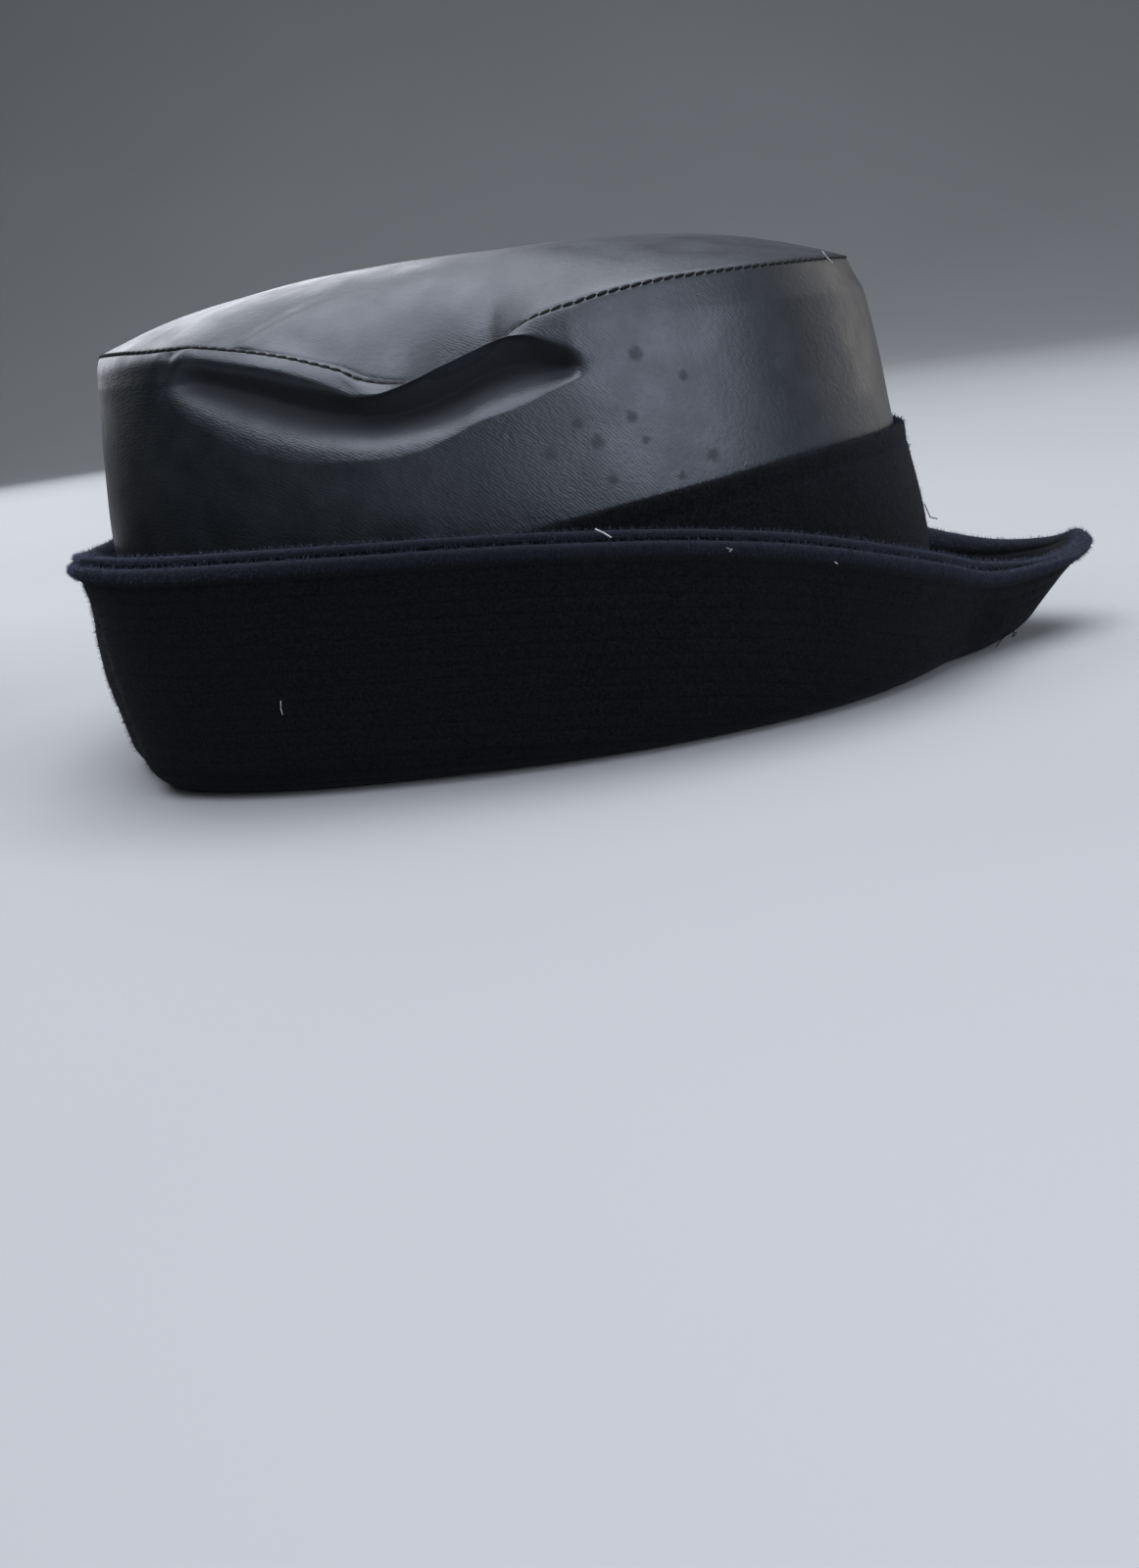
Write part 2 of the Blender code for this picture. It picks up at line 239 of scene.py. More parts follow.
# Soft creases and pleats of the crown: start, end, half width and height, in millimetres. They fade
# close to the seam and along their later three quarters.
CREASES = (
    ((-89.6, -59.0, 99.3), (-93.2, -58.1, 92.6), 3.6, -0.7),
    ((-84.4, -62.4, 98.9), (-88.9, -61.0, 93.4), 3.6, 0.6),
    ((-70.1, -65.7, 99.1), (-59.4, -60.9, 103.8), 4.2, 0.5),
    ((-59.4, -60.9, 103.8), (-49.0, -56.5, 107.0), 4.6, 0.35),
    ((62.3, -39.8, 101.6), (68.5, -36.0, 97.5), 2.0, 0.4),
    ((-61.8, -65.5, 100.2), (-50.1, -73.3, 91.1), 5.0, -0.5),
    ((-49.5, -76.5, 90.0), (-43.5, -80.1, 84.9), 1.5, 0.3),
)
CREASE_SEAM_FADE = 1.5 * MM
CREASE_END_FADE = 1.25

# Small dark stains on the crown's wall: centre and radius, in millimetres
STAINS = (
    (14.8, -80.2, 86.0, 2.2),
    (12.3, -82.1, 73.1, 1.9),
    (4.2, -83.9, 68.8, 2.3),
    (14.7, -81.9, 67.8, 1.4),
    (28.9, -77.7, 62.5, 2.0),
    (6.6, -84.1, 60.4, 1.9),
    (24.5, -77.7, 80.1, 1.6),
    (41.9, -70.1, 72.1, 1.5),
    (40.9, -70.2, 76.0, 1.1),
    (57.9, -56.7, 74.6, 1.6),
    (46.6, -65.9, 79.8, 1.7),
    (39.4, -72.2, 66.6, 1.6),
    (-6.2, -85.2, 67.6, 2.4),
    (21.6, -80.5, 58.9, 1.4),
    (0.4, -84.1, 73.3, 1.8),
)

# Loose strands: radius and points, in millimetres
PALE_LINT = (
    (0.17, ((1.5, -105.7, 52.8), (3.0, -105.8, 51.9), (4.5, -105.8, 50.7))),
    (0.10, ((-70.5, -96.6, 23.8), (-70.8, -96.4, 22.2), (-70.7, -96.2, 20.8))),
    (0.14, ((28.5, -96.2, 44.2), (29.3, -96.0, 43.9))),
    (0.12, ((29.1, -96.2, 43.4), (29.7, -95.9, 43.8))),
    (0.14, ((52.6, -83.9, 36.5), (53.2, -83.5, 36.0))),
    (0.10, ((62.0, -41.0, 102.8), (62.9, -41.3, 101.3), (64.2, -41.2, 99.9))),
)
DARK_THREADS = (
    (0.14, ((99.6, -23.5, 0.7), (101.3, -23.5, 2.6), (103.2, -23.5, 4.5), (104.9, -23.5, 3.5))),
    (0.12, ((105.1, -23.4, 3.6), (103.9, -23.6, 2.6), (104.7, -23.5, 5.0))),
    (0.14, ((84.6, -22.0, 39.0), (85.7, -22.0, 35.6), (87.4, -22.2, 35.0))),
)

# Seam between the top panel and the crown's wall, which the thread draws inwards and down
SEAM_EDGE = 1.1 * MM
SEAM_DEPTH = 0.6 * MM
DRAWN_IN = 0.6
DRAWN_DOWN = 0.8
SEAM_STITCH = 2.6 * MM
# How steeply up the seam faces, and how far its stitches stand out, lap and lie aslant, as shares
SEAM_FACING = 1.3
STITCH_STANDING = 0.6
STITCH_HALF_LENGTH = 0.54
STITCH_SLANT = 0.18
# Half the thread's width in millimetres, at degrees from the front
THREAD_WIDTHS = ((0.0, 0.40), (84.0, 0.38), (104.0, 0.48), (180.0, 0.50))

# Hairs of the wool's nap, in the longest hair's size. Their sides are set out from a direction that
# hardly any of them follows.
HAIR_SEED = 11
HAIR_LENGTH = 1.4 * MM
SHORTEST_HAIR = 0.3
HAIR_WIDTH = 0.13 * MM
HAIR_SCATTER = 0.45
ACROSS_HAIR = (0.31, 0.52, 0.79)

# Fineness of the grids
BRIM_COLUMNS = 480
CROWN_COLUMNS = 600
ROLL_ROWS = 14
BACK_ROWS = 8
BRIM_ROWS = 92
BAND_ROWS = 40
SEAM_ROWS = (0.0, 0.15, 0.35, 0.6, 0.9, 1.3)
DENT_REACH = 32 * MM
DENT_ROWS = 57
FOOT_ROWS = 35
WALL_BACK_ROWS = 41
TOP_ROWS = 70
TOP_BACK_ROWS = 30
ROW_SPREAD = 1.15
SAME_POINT = 1e-6


def between(low, high, share):
    return low + (high - low) * share


def smooth_share(share):
    """0 to 1 with level ends."""
    share = min(max(share, 0.0), 1.0)
    return share * share * (3 - 2 * share)


def swell(place, centre, half_width):
    """1 at the centre, falling smoothly to 0 at half a width to each side."""
    return smooth_share(1 - abs(place - centre) / half_width)


def catmull_rom(before, low, high, after, share):
    """Value on a smooth curve through low and high."""
    return 0.5 * (
        2 * low
        + (high - before) * share
        + (2 * before - 5 * low + 4 * high - after) * share**2
        + (3 * (low - high) + after - before) * share**3
    )


def looked_up(rows, key):
    """Row of a table at a key between its rows, column by column, along a smooth curve."""
    last = len(rows) - 1
    at = max(i for i in range(last) if rows[i][0] <= key or i == 0)
    share = (key - rows[at][0]) / (rows[at + 1][0] - rows[at][0])
    before, low = rows[max(at - 1, 0)], rows[at]
    high, after = rows[at + 1], rows[min(at + 2, last)]
    return [catmull_rom(*column, share) for column in zip(before, low, high, after)]


def steady_row(rows, key):
    """Row of a table at a key, along smooth curves that never swing past the table's values."""
    keys, values = np.array(rows)[:, 0], np.array(rows)[:, 1:]
    rises = np.diff(values, axis=0) / np.diff(keys)[:, None]
    product, total = rises[:-1] * rises[1:], rises[:-1] + rises[1:]
    slopes = np.zeros_like(values)
    slopes[1:-1] = np.where(product > 0, 2 * product / np.where(product > 0, total, 1), 0)
    key = min(max(key, keys[0]), keys[-1])
    at = min(int(np.searchsorted(keys, key, side="right")) - 1, len(keys) - 2)
    width = keys[at + 1] - keys[at]
    share = (key - keys[at]) / width
    rise = share * share * (3 - 2 * share)
    start = share * (1 - share) ** 2 * width
    end = share * share * (share - 1) * width
    return between(values[at], values[at + 1], rise) + start * slopes[at] + end * slopes[at + 1]


def between_rows(start, end, count):
    return [between(start, end, step / (count - 1)) for step in range(count)]


def outline_radius(angle, front, back, side):
    """Distance from the hat's axis to an oval outline, given its reach forward, back and sideways."""
    along = abs(math.cos(angle)) / (front if math.cos(angle) > 0 else back)
    across = abs(math.sin(angle)) / side
    return (along**OUTLINE_POWER + across**OUTLINE_POWER) ** (-1 / OUTLINE_POWER)


def foot_radius(angle):
    return outline_radius(angle, FOOT_LENGTH / 2, FOOT_LENGTH / 2, FOOT_WIDTH / 2)


def brim_at(turn):
    """Angle and sizes of the brim at a place round it, where turn goes from 0 to 1."""
    left = [station[1:] for station in BRIM_STATIONS]
    rows = left + [(360 - row[0],) + row[1:] for row in left[-2:0:-1]]
    at = int(turn * len(rows))
    share = turn * len(rows) - at
    picked = []
    for step in (-1, 0, 1, 2):
        laps, row = divmod(at + step, len(rows))
        picked.append((rows[row][0] + 360 * laps,) + rows[row][1:])
    degrees, room, bow, flare, rim, lift = [catmull_rom(*column, share) for column in zip(*picked)]
    return (
        math.radians(degrees),
        GUTTER_ROOM * room + BOW_REACH * bow,
        BRIM_FLARE * flare,
        BRIM_HEIGHT * rim,
        BOW_LIFT * max(lift, 0.0),
    )


def brim_reach(turn):
    """Distance from the axis to the rim."""
    angle, room, flare, _, _ = brim_at(turn)
    return foot_radius(angle) + BAND_STACK + room + BRIM_STACK + flare


# Place of the crown's axis, with the bow and the back of the rim equally far from the origin
AXIS_X = (brim_reach(0.5) - brim_reach(0.0)) / 2


def placed(angle, radius, z):
    return (AXIS_X + radius * math.cos(angle), radius * math.sin(angle), z)


def uneven(point, size, seed):
    """Soft unevenness from -1 to 1, with hollows and swells of about this size."""
    return noise.noise(Vector(point) / size + Vector((seed, 0, 0)))


# Brim and crown as surfaces


class BrimSection:
    """The brim's outer face at one place round the hat, followed from the rim down to the foot."""

    def __init__(self, turn):
        self.angle, room, flare, rim_height, lift = brim_at(turn)
        foot = foot_radius(self.angle)
        self.seat_edge = foot + BAND_STACK
        fold = (self.seat_edge + room + BRIM_STACK, lift)
        self.rim = (fold[0] + flare, rim_height)
        self.floor_slope = math.atan2(lift, fold[0] - self.seat_edge)
        self.wall_slope = math.atan2(rim_height - lift, flare)
        half_turn = (self.wall_slope - self.floor_slope) / 2
        floor_length = math.hypot(fold[0] - self.seat_edge, lift)
        self.radius = min(FOLD_RADIUS, (1 - FLAT_SHARE) * floor_length / math.tan(half_turn))
        tangent = self.radius * math.tan(half_turn)
        self.centre = (
            fold[0] - tangent * math.cos(self.floor_slope) - self.radius * math.sin(self.floor_slope),
            fold[1] - tangent * math.sin(self.floor_slope) + self.radius * math.cos(self.floor_slope),
        )
        self.wall = math.hypot(flare, rim_height - lift) - tangent
        self.fold = self.radius * 2 * half_turn
        self.floor = floor_length - tangent
        self.length = self.wall + self.fold + self.floor + self.seat_edge - foot + CROWN_WALL

    def point(self, down):
        """Place on the outer face, this far down from the rim along the cloth."""
        if down <= self.wall:
            radius = self.rim[0] - down * math.cos(self.wall_slope)
            return placed(self.angle, radius, self.rim[1] - down * math.sin(self.wall_slope))
        down -= self.wall
        if down <= self.fold:
            slope = self.wall_slope - down / self.radius
            radius = self.centre[0] + self.radius * math.sin(slope)
            return placed(self.angle, radius, self.centre[1] - self.radius * math.cos(slope))
        down -= self.fold
        if down <= self.floor:
            left = self.floor - down
            radius = self.seat_edge + left * math.cos(self.floor_slope)
            return placed(self.angle, radius, left * math.sin(self.floor_slope))
        return placed(self.angle, self.seat_edge - (down - self.floor), 0.0)


def crown_radius(angle, height):
    """Distance from the axis to the crown wall's outer face, at a height given as a share."""
    _, side, ends, lean = looked_up(CROWN_ROWS, height)
    end_bulge = CROWN_BULGE * ends
    return outline_radius(
        angle,
        FOOT_LENGTH / 2 + end_bulge - CROWN_LEAN * lean,
        FOOT_LENGTH / 2 + end_bulge + CROWN_LEAN * lean,
        FOOT_WIDTH / 2 + CROWN_BULGE * side,
    )


def dent_section(lines, profile, firmness):
    """Points (down, inward) of the dent: its lines, and the profile's points between each two."""
    points = [lines[0]]
    for start, end, spots, firm in zip(lines, lines[1:], profile, firmness):
        for soft, crisp in spots:
            shares = [between(*pair, firm) for pair in zip(soft, crisp)]
            points.append([between(*ends, share) for *ends, share in zip(start, end, shares)])
        points.append(end)
    return points


class CrownColumn:
    """The crown's outer face at one angle, followed from the top's middle over the seam and down.
    A lining passes behind the dent's folded lip."""

    def __init__(self, angle, lining=False):
        self.angle = angle
        self.edge = crown_radius(angle, 1.0)
        right_side = angle > math.pi
        degrees = 360 - math.degrees(angle) if right_side else 0.0
        row = steady_row(DENT_STATIONS, degrees)
        self.seam, self.tuck, lip, inset, groove, depth, self.dent_edge = row[:-1] * MM
        self.lip, self.groove, self.depth = lip, groove, depth
        self.crisp = crisp = row[-1]
        spread = [steady_row(DENT_STATIONS, degrees + turn)[:2] for turn in EVENED_OVER]
        self.even_seam, self.even_tuck = np.mean(spread, axis=0) * MM if right_side else (0.0, 0.0)
        seam, deepest, edge = (self.seam, self.tuck), (groove, depth), (self.dent_edge, 0.0)
        if lining:
            self.dent = dent_section((seam, deepest, edge), LINING_PROFILE, (0.0, 0.0))
        else:
            firm = smooth_share((SOFT_FROM - degrees) / (SOFT_FROM - FIRM_UNTIL))
            lines = (seam, (lip, inset), deepest, edge)
            self.dent = dent_section(lines, DENT_PROFILE, (crisp, crisp, firm))

    def point(self, down):
        """Place this far below the seam, or on the top panel if it is this far above."""
        radius, z = self.top(-down) if down < 0 else self.wall(down)
        dip = SEAM_DEPTH * max(1 - abs(down) / SEAM_EDGE, 0.0) ** 2
        return placed(self.angle, radius - DRAWN_IN * dip, z - DRAWN_DOWN * dip)

    def top(self, inside):
        """Radius and height on the top panel, this far inside the seam."""
        ring = max(1 - inside / self.edge, 0.0)
        left = 1 - min(inside / SAG_INTO_TOP, 1.0)
        evened = smooth_share(inside / (EVENED_FROM * SAG_INTO_TOP))
        sag = between(self.seam, self.even_seam, evened) * left**2
        tuck = between(self.tuck, self.even_tuck, evened) * left**2
        rise = DOME_RISE * (1 - ring**DOME_POWER)
        return self.edge * ring - tuck, SEAM_HEIGHT + rise - sag

    def wall(self, below):
        """Radius and height on the wall, this far below the seam along the dent's section."""
        if below >= self.dent_edge:
            sunk, inward = below, 0.0
        else:
            last = len(self.dent) - 1
            at, share = divmod(below / self.dent_edge * last, 1.0)
            at = int(at)
            picked = [self.dent[min(max(at + step, 0), last)] for step in (-1, 0, 1, 2)]
            sunk, inward = [catmull_rom(*column, share) for column in zip(*picked)]
        radius = crown_radius(self.angle, 1 - sunk / SEAM_HEIGHT)
        return radius - inward, SEAM_HEIGHT - sunk

    def groove_shade(self, down):
        """Painted shade: 1 in the dent's groove, falling to 0 at its lip and half way to its lower
        edge.
        """
        if not 0 < down < self.dent_edge:
            return 0.0
        sunk = SEAM_HEIGHT - self.wall(down)[1]
        above = (sunk - self.lip) / (self.groove - self.lip)
        below = (sunk - self.groove) / (self.dent_edge - self.groove)
        # Painted shade: dark under the lip and in the groove, fading out down the slope, and only
        # where the groove is deep
        dark = smooth_share(min(0.25 * self.crisp + 1.5 * above, 1.3 - 2 * below))
        return dark * min(self.depth / FULL_SHADE_DEPTH, 1.0)


# Cloth


def skin(columns, downs):
    """Points and outward normals at each column's distances down a surface."""
    nudge = 0.2 * MM
    pairs = list(zip(columns, downs))
    low = np.array([[column.point(down - nudge) for down in row] for column, row in pairs])
    high = np.array([[column.point(down + nudge) for down in row] for column, row in pairs])
    points = (low + high) / 2
    around = np.roll(points, -1, axis=0) - np.roll(points, 1, axis=0)
    normals = np.cross(high - low, around)
    lengths = np.linalg.norm(normals, axis=2, keepdims=True)
    return points, normals / np.maximum(lengths, 1e-12)


def cloth_of(name, columns, sections, sway, materials, hidden_from, lining=None, groove_shade=None):
    """A closed cloth round the hat. A section is its (down, out) pairs, out from the surface. Its
    rows from hidden_from on face inward, and follow the lining's columns if there are any."""
    downs = np.array([[down for down, _ in section] for section in sections])
    outs = np.array([[out for _, out in section] for section in sections])
    points, normals = skin(columns, downs)
    if lining:
        behind = skin(lining, downs[:, hidden_from + 1 : -1])
        points[:, hidden_from + 1 : -1] = behind[0]
        normals[:, hidden_from + 1 : -1] = behind[1]
    outs = outs + np.array([[sway(*pair) for pair in zip(*row)] for row in zip(points, downs)])
    points = points + normals * outs[..., None]
    first = points[:, 0]
    steps = np.linalg.norm(np.roll(first, -1, axis=0) - first, axis=1)
    around = np.concatenate([[0.0], np.cumsum(steps)])
    points = np.concatenate([points, points[:1]])
    downs = np.concatenate([downs, downs[:1]])
    return bent_grid(name, points, around, downs, materials, hidden_from, groove_shade)


def bent_grid(name, points, around, downs, materials, hidden_from, groove_shade):
    """Flat grid with a UV map, bent onto these points and welded where its edges meet. A second
    UV map holds each place's painted shade, where that is given."""
    columns, rows = points.shape[0] - 1, points.shape[1] - 1
    cloth = bmesh.new()
    bmesh.ops.create_grid(cloth, x_segments=columns, y_segments=rows, size=0.5)
    flat = bpy.data.meshes.new(name)
    cloth.to_mesh(flat)
    flat.vertices.foreach_set("co", np.swapaxes(points, 0, 1).ravel())
    corners = np.empty(len(flat.loops), np.int32)
    flat.loops.foreach_get("vertex_index", corners)
    row, column = np.divmod(corners, columns + 1)
    places = np.stack([around[column], downs[column, row]], axis=1)
    flat.uv_layers.new(name="UVMap").uv.foreach_set("vector", places.ravel())
    # The second UV map carries the groove's painted shade to the material
    if groove_shade is not None:
        groove_shade_share = np.stack([groove_shade[column % columns, row], 0.0 * row], axis=1)
        flat.uv_layers.new(name="GrooveShadeMap").uv.foreach_set("vector", groove_shade_share.ravel())
    hidden = np.arange(len(flat.polygons)) // columns >= hidden_from
    flat.polygons.foreach_set("material_index", hidden.astype(np.int32))
    cloth.clear()
    cloth.from_mesh(flat)
    bpy.data.meshes.remove(flat)
    bmesh.ops.remove_doubles(cloth, verts=cloth.verts[:], dist=SAME_POINT)
    bmesh.ops.recalc_face_normals(cloth, faces=cloth.faces[:])
    return finished(name, cloth, materials)


def finished(name, shape, materials):
    """The shape as a smooth piece of the scene, with its materials."""
    mesh = bpy.data.meshes.new(name)
    shape.to_mesh(mesh)
    shape.free()
    mesh.shade_smooth()
    for material in materials:
        mesh.materials.append(material)
    piece = bpy.data.objects.new(name, mesh)
    bpy.context.scene.collection.objects.link(piece)
    return piece


def ply_section(length, hidden, face, puff, round_height, merged, face_rows, rise=0.0):
    """(down, out) pairs round a ply: over its rounded edge, down its face, and back behind it.
    Merged is 1 where the edge is square on its hidden side, as the other ply's edge meets it."""
    shoulder = round_height - rise
    middle, half = (hidden + face + puff) / 2, (face + puff - hidden) / 2
    pairs = []
    for step in range(ROLL_ROWS):
        swing = math.pi * (1 - step / (ROLL_ROWS - 1))
        lift = abs(math.sin(swing)) ** EDGE_ROUNDNESS
        if swing > math.pi / 2:
            lift = between(lift, 1.0, merged)
        pairs.append((shoulder - round_height * lift, middle + half * math.cos(swing)))
    outward = math.copysign(1.0, half)
    for step in range(1, face_rows + 1):
        down = between(shoulder, length, (step / face_rows) ** ROW_SPREAD)
        left = puff * smooth_share(1 - (down - shoulder) / PUFF_REACH)
        dip = outward * STITCH_DIP * swell(down, FIRST_ROW, STITCH_HALF_WIDTH)
        pairs.append((down, face + left - dip))
    for step in range(BACK_ROWS):
        pairs.append((between(length, shoulder, step / BACK_ROWS), hidden))
    return pairs + pairs[:1]


def brim_sway(point, down):
    """The brim flares a little more at its rim, waves softly there, is hollow under the rim behind
    the corners, and lies true at its foot."""
    free = smooth_share(1 - down / BRIM_WAVE_REACH)
    wave = BRIM_WAVE * uneven(point, BRIM_WAVE_WIDTH, seed=3.0) * free
    degrees = math.degrees(abs(math.atan2(point[1], point[0] - AXIS_X)))
    flank = swell(degrees, FLANK_DEGREES, FLANK_HALF_WIDTH)
    if flank:
        wave -= flank * MM * steady_row(FLANK_HOLLOW, down / MM)[0]
    return wave + RIM_FLARE * max(1 - down / RIM_FLARE_HEIGHT, 0.0) ** 2


def brim_cloths(outer_wool, inner_wool, plain_wool):
    """The brim's two plies, whose edges stand apart except in front, where they meet as one."""
    columns = [BrimSection(step / BRIM_COLUMNS) for step in range(BRIM_COLUMNS)]
    outer, inner = [], []
    for column in columns:
        degrees = math.degrees(min(column.angle, math.tau - column.angle))
        merged = smooth_share((PARTED_FROM - degrees) / PARTING)
        between_plies = -PLY - CLEARANCE / 2
        hidden = between(-PLY, between_plies, merged)
        outer.append(
            ply_section(column.length, hidden, 0.0, EDGE_PUFF, EDGE_HEIGHT, merged, BRIM_ROWS)
        )
        hidden = between(-PLY - CLEARANCE, between_plies, merged)
        rise = INNER_RISE * (1 - merged)
        inner.append(
            ply_section(
                column.length, hidden, -BRIM_STACK, -EDGE_PUFF, EDGE_HEIGHT, merged, BRIM_ROWS, rise
            )
        )
    hidden_from = ROLL_ROWS + BRIM_ROWS - 1
    return [
        cloth_of(name, columns, sections, brim_sway, [wool, plain_wool], hidden_from)
        for name, sections, wool in (
            ("brim_outer_cloth", outer, outer_wool),
            ("brim_inner_cloth", inner, inner_wool),
        )
    ]


def crown_columns(lining=False):
    return [CrownColumn(math.tau * step / CROWN_COLUMNS, lining) for step in range(CROWN_COLUMNS)]


def crown_sway(point, down):
    """The crown's cloth is softly uneven away from its seam, and has a few creases."""
    free = smooth_share(abs(down) / CROWN_WAVE_REACH)
    sway = CROWN_WAVE * uneven(point, CROWN_WAVE_WIDTH, seed=7.0) * free
    for start, end, half_width, height in CREASES:
        start, run = Vector(start) * MM, (Vector(end) - Vector(start)) * MM
        along = (Vector(point) - start).dot(run) / run.length_squared
        nearest = start + run * min(max(along, 0.0), 1.0)
        beside = (Vector(point) - nearest).length / (half_width * MM)
        if beside < 1:
            left = smooth_share(abs(down) / CREASE_SEAM_FADE)
            left *= smooth_share(CREASE_END_FADE - min(along, 1.0))
            sway += height * MM * smooth_share(1 - beside) * left
    return sway


def crown_wall_cloth(coated, backing):
    """The crown's wall from the seam down to its seat on the brim, with its rows closest together
    at the seam and in the dent."""
    low = SEAM_HEIGHT - SEAT
    downs = [down * MM for down in SEAM_ROWS]
    downs += between_rows(downs[-1], DENT_REACH, DENT_ROWS)[1:]
    downs += between_rows(DENT_REACH, low, FOOT_ROWS)[1:]
    section = [(down, 0.0) for down in downs]
    section += [(down, -CROWN_WALL) for down in between_rows(low, CROWN_WALL, WALL_BACK_ROWS)]
    section.append(section[0])
    columns = crown_columns()
    # Painted shade of the dent's groove at each place of the wall
    groove_shade = np.array([[column.groove_shade(down) for down, _ in section] for column in columns])
    return cloth_of(
        "crown_wall_cloth", columns, [section] * len(columns), crown_sway, [coated, backing],
        len(downs) - 1, crown_columns(lining=True), groove_shade,
    )


def crown_top_cloth(coated, backing):
    """The domed top panel, from its middle out to the seam and back behind."""
    columns = crown_columns()
    rims = [inside * MM for inside in reversed(SEAM_ROWS)]
    sections = []
    for column in columns:
        shown = between_rows(column.edge, rims[0], TOP_ROWS) + rims[1:]
        hidden = between_rows(CROWN_WALL, column.edge, TOP_BACK_ROWS)
        sections.append(
            [(-inside, 0.0) for inside in shown] + [(-inside, -CROWN_WALL) for inside in hidden]
        )
    hidden_from = TOP_ROWS + len(SEAM_ROWS) - 2
    return cloth_of(
        "crown_top_cloth", columns, sections, crown_sway, [coated, backing], hidden_from
    )


def band_cloth(wool, plain_wool):
    """The band round the crown's foot, tallest in front."""
    columns = crown_columns()
    sections = []
    low = SEAT + CLEARANCE
    for column in columns:
        degrees = math.degrees(column.angle)
        _, share = looked_up(BAND_STATIONS, min(degrees, 360 - degrees))
        height = BAND_HEIGHT * share
        section = ply_section(
            height, CLEARANCE, CLEARANCE + BAND_WALL, BAND_EDGE_PUFF, BAND_EDGE_HEIGHT, 0.0, BAND_ROWS
        )
        top = SEAM_HEIGHT - low - height
        sections.append([(top + down, out) for down, out in section])
    hidden_from = ROLL_ROWS + BAND_ROWS - 1
    return cloth_of(
        "band_cloth", columns, sections, lambda point, down: 0.0, [wool, plain_wool], hidden_from
    )


def seam_thread(material):
    """Stitches of twisted thread along the seam, each a small bead of thread laid a little aslant."""
    columns = crown_columns()
    points = np.array([column.point(0.0) for column in columns])
    ends = np.roll(points, -1, axis=0) - points
    lengths = np.concatenate([[0.0], np.cumsum(np.linalg.norm(ends, axis=1))])
    count = round(lengths[-1] / SEAM_STITCH)
    shape = bmesh.new()
    for stitch in range(count):
        along = stitch * lengths[-1] / count
        degrees = math.degrees(columns[int(stitch * len(columns) / count)].angle)
        thick = MM * float(np.interp(min(degrees, 360 - degrees), *zip(*THREAD_WIDTHS)))
        at = int(np.searchsorted(lengths, along, side="right")) - 1
        share = (along - lengths[at]) / (lengths[at + 1] - lengths[at])
        angle = columns[at].angle
        tangent = Vector(ends[at]).normalized()
        outward = Vector((math.cos(angle), math.sin(angle), SEAM_FACING))
        side = outward.cross(tangent).normalized()
        out = tangent.cross(side)
        centre = Vector(points[at]) + Vector(ends[at]) * share + out * STITCH_STANDING * thick
        aslant = (tangent + side * STITCH_SLANT).normalized()
        axes = (aslant * SEAM_STITCH * STITCH_HALF_LENGTH, out.cross(aslant) * thick, out * thick)
        turned = Matrix(axes).transposed().to_4x4()
        bmesh.ops.create_uvsphere(
            shape, u_segments=8, v_segments=6, radius=1.0, matrix=Matrix.Translation(centre) @ turned
        )
    bmesh.ops.recalc_face_normals(shape, faces=shape.faces[:])
    return finished("seam_thread", shape, [material])


def loose_pieces(name, strands, material):
    """Thin loose strands, each a row of short five-sided rods from point to point, in millimetres."""
    shape = bmesh.new()
    for radius, points in strands:
        for start, end in zip(points, points[1:]):
            start, end = Vector(start) * MM, Vector(end) * MM
            turn = (end - start).to_track_quat("Z", "Y").to_matrix().to_4x4()
            bmesh.ops.create_cone(
                shape, cap_ends=True, segments=5, radius1=radius * MM, radius2=radius * MM,
                depth=(end - start).length + radius * MM,
                matrix=Matrix.Translation((start + end) / 2) @ turn,
            )
    bmesh.ops.recalc_face_normals(shape, faces=shape.faces[:])
    return finished(name, shape, [material])


def nap(name, beds, material):
    """Short wool hairs standing out of cloths, each a closed three-sided spike. A bed is a cloth,
    how far down it the hairs grow, how steeply upwards it faces there at least, and their number.
    They are drawn thicker and fewer than real fibres, which are too fine for the picture."""
    chance = np.random.default_rng(HAIR_SEED)
    roots, leans = [], []
    for cloth, reach, facing_up, count in beds:
        places, downs = corners_of(cloth.data)
        outward = np.cross(places[:, 1] - places[:, 0], places[:, 2] - places[:, 0])
        sizes = np.linalg.norm(outward, axis=1)
        grown = (downs.max(axis=1) < reach) & (outward[:, 2] > facing_up * sizes)
        weights = np.where(grown, sizes, 0.0)
        picked = chance.choice(len(weights), count, p=weights / weights.sum())
        shares = chance.dirichlet((1, 1, 1), count)
        roots.append((places[picked] * shares[..., None]).sum(axis=1))
        scattered = chance.normal(0, HAIR_SCATTER, (count, 3))
        leans.append(outward[picked] / sizes[picked, None] + scattered)
    roots, leans = np.concatenate(roots), np.concatenate(leans)
    leans /= np.linalg.norm(leans, axis=1, keepdims=True)
    side = np.cross(leans, ACROSS_HAIR)
    side /= np.linalg.norm(side, axis=1, keepdims=True)
    other = np.cross(side, leans)
    lengths = HAIR_LENGTH * chance.uniform(SHORTEST_HAIR, 1.0, (len(roots), 1))
    spike = spike_mesh()
    hairs = bmesh.new()
    for _ in range(len(roots)):
        hairs.from_mesh(spike)
    corners = []
    for corner in spike.vertices:
        along = lengths if corner.co.z > 0 else -HAIR_WIDTH
        corners.append(roots + corner.co.x * other + corner.co.y * side + along * leans)
    bpy.data.meshes.remove(spike)
    piece = finished(name, hairs, [material])
    piece.data.vertices.foreach_set("co", np.stack(corners, axis=1).ravel())
    piece.data.update()
    return piece


def spike_mesh():
    """One closed three-sided hair, standing upright with its foot below the origin."""
    shape = bmesh.new()
    bmesh.ops.create_cone(
        shape, cap_ends=True, segments=3, radius1=HAIR_WIDTH / 2, radius2=0.0, depth=HAIR_LENGTH
    )
    spike = bpy.data.meshes.new("spike")
    shape.to_mesh(spike)
    shape.free()
    return spike


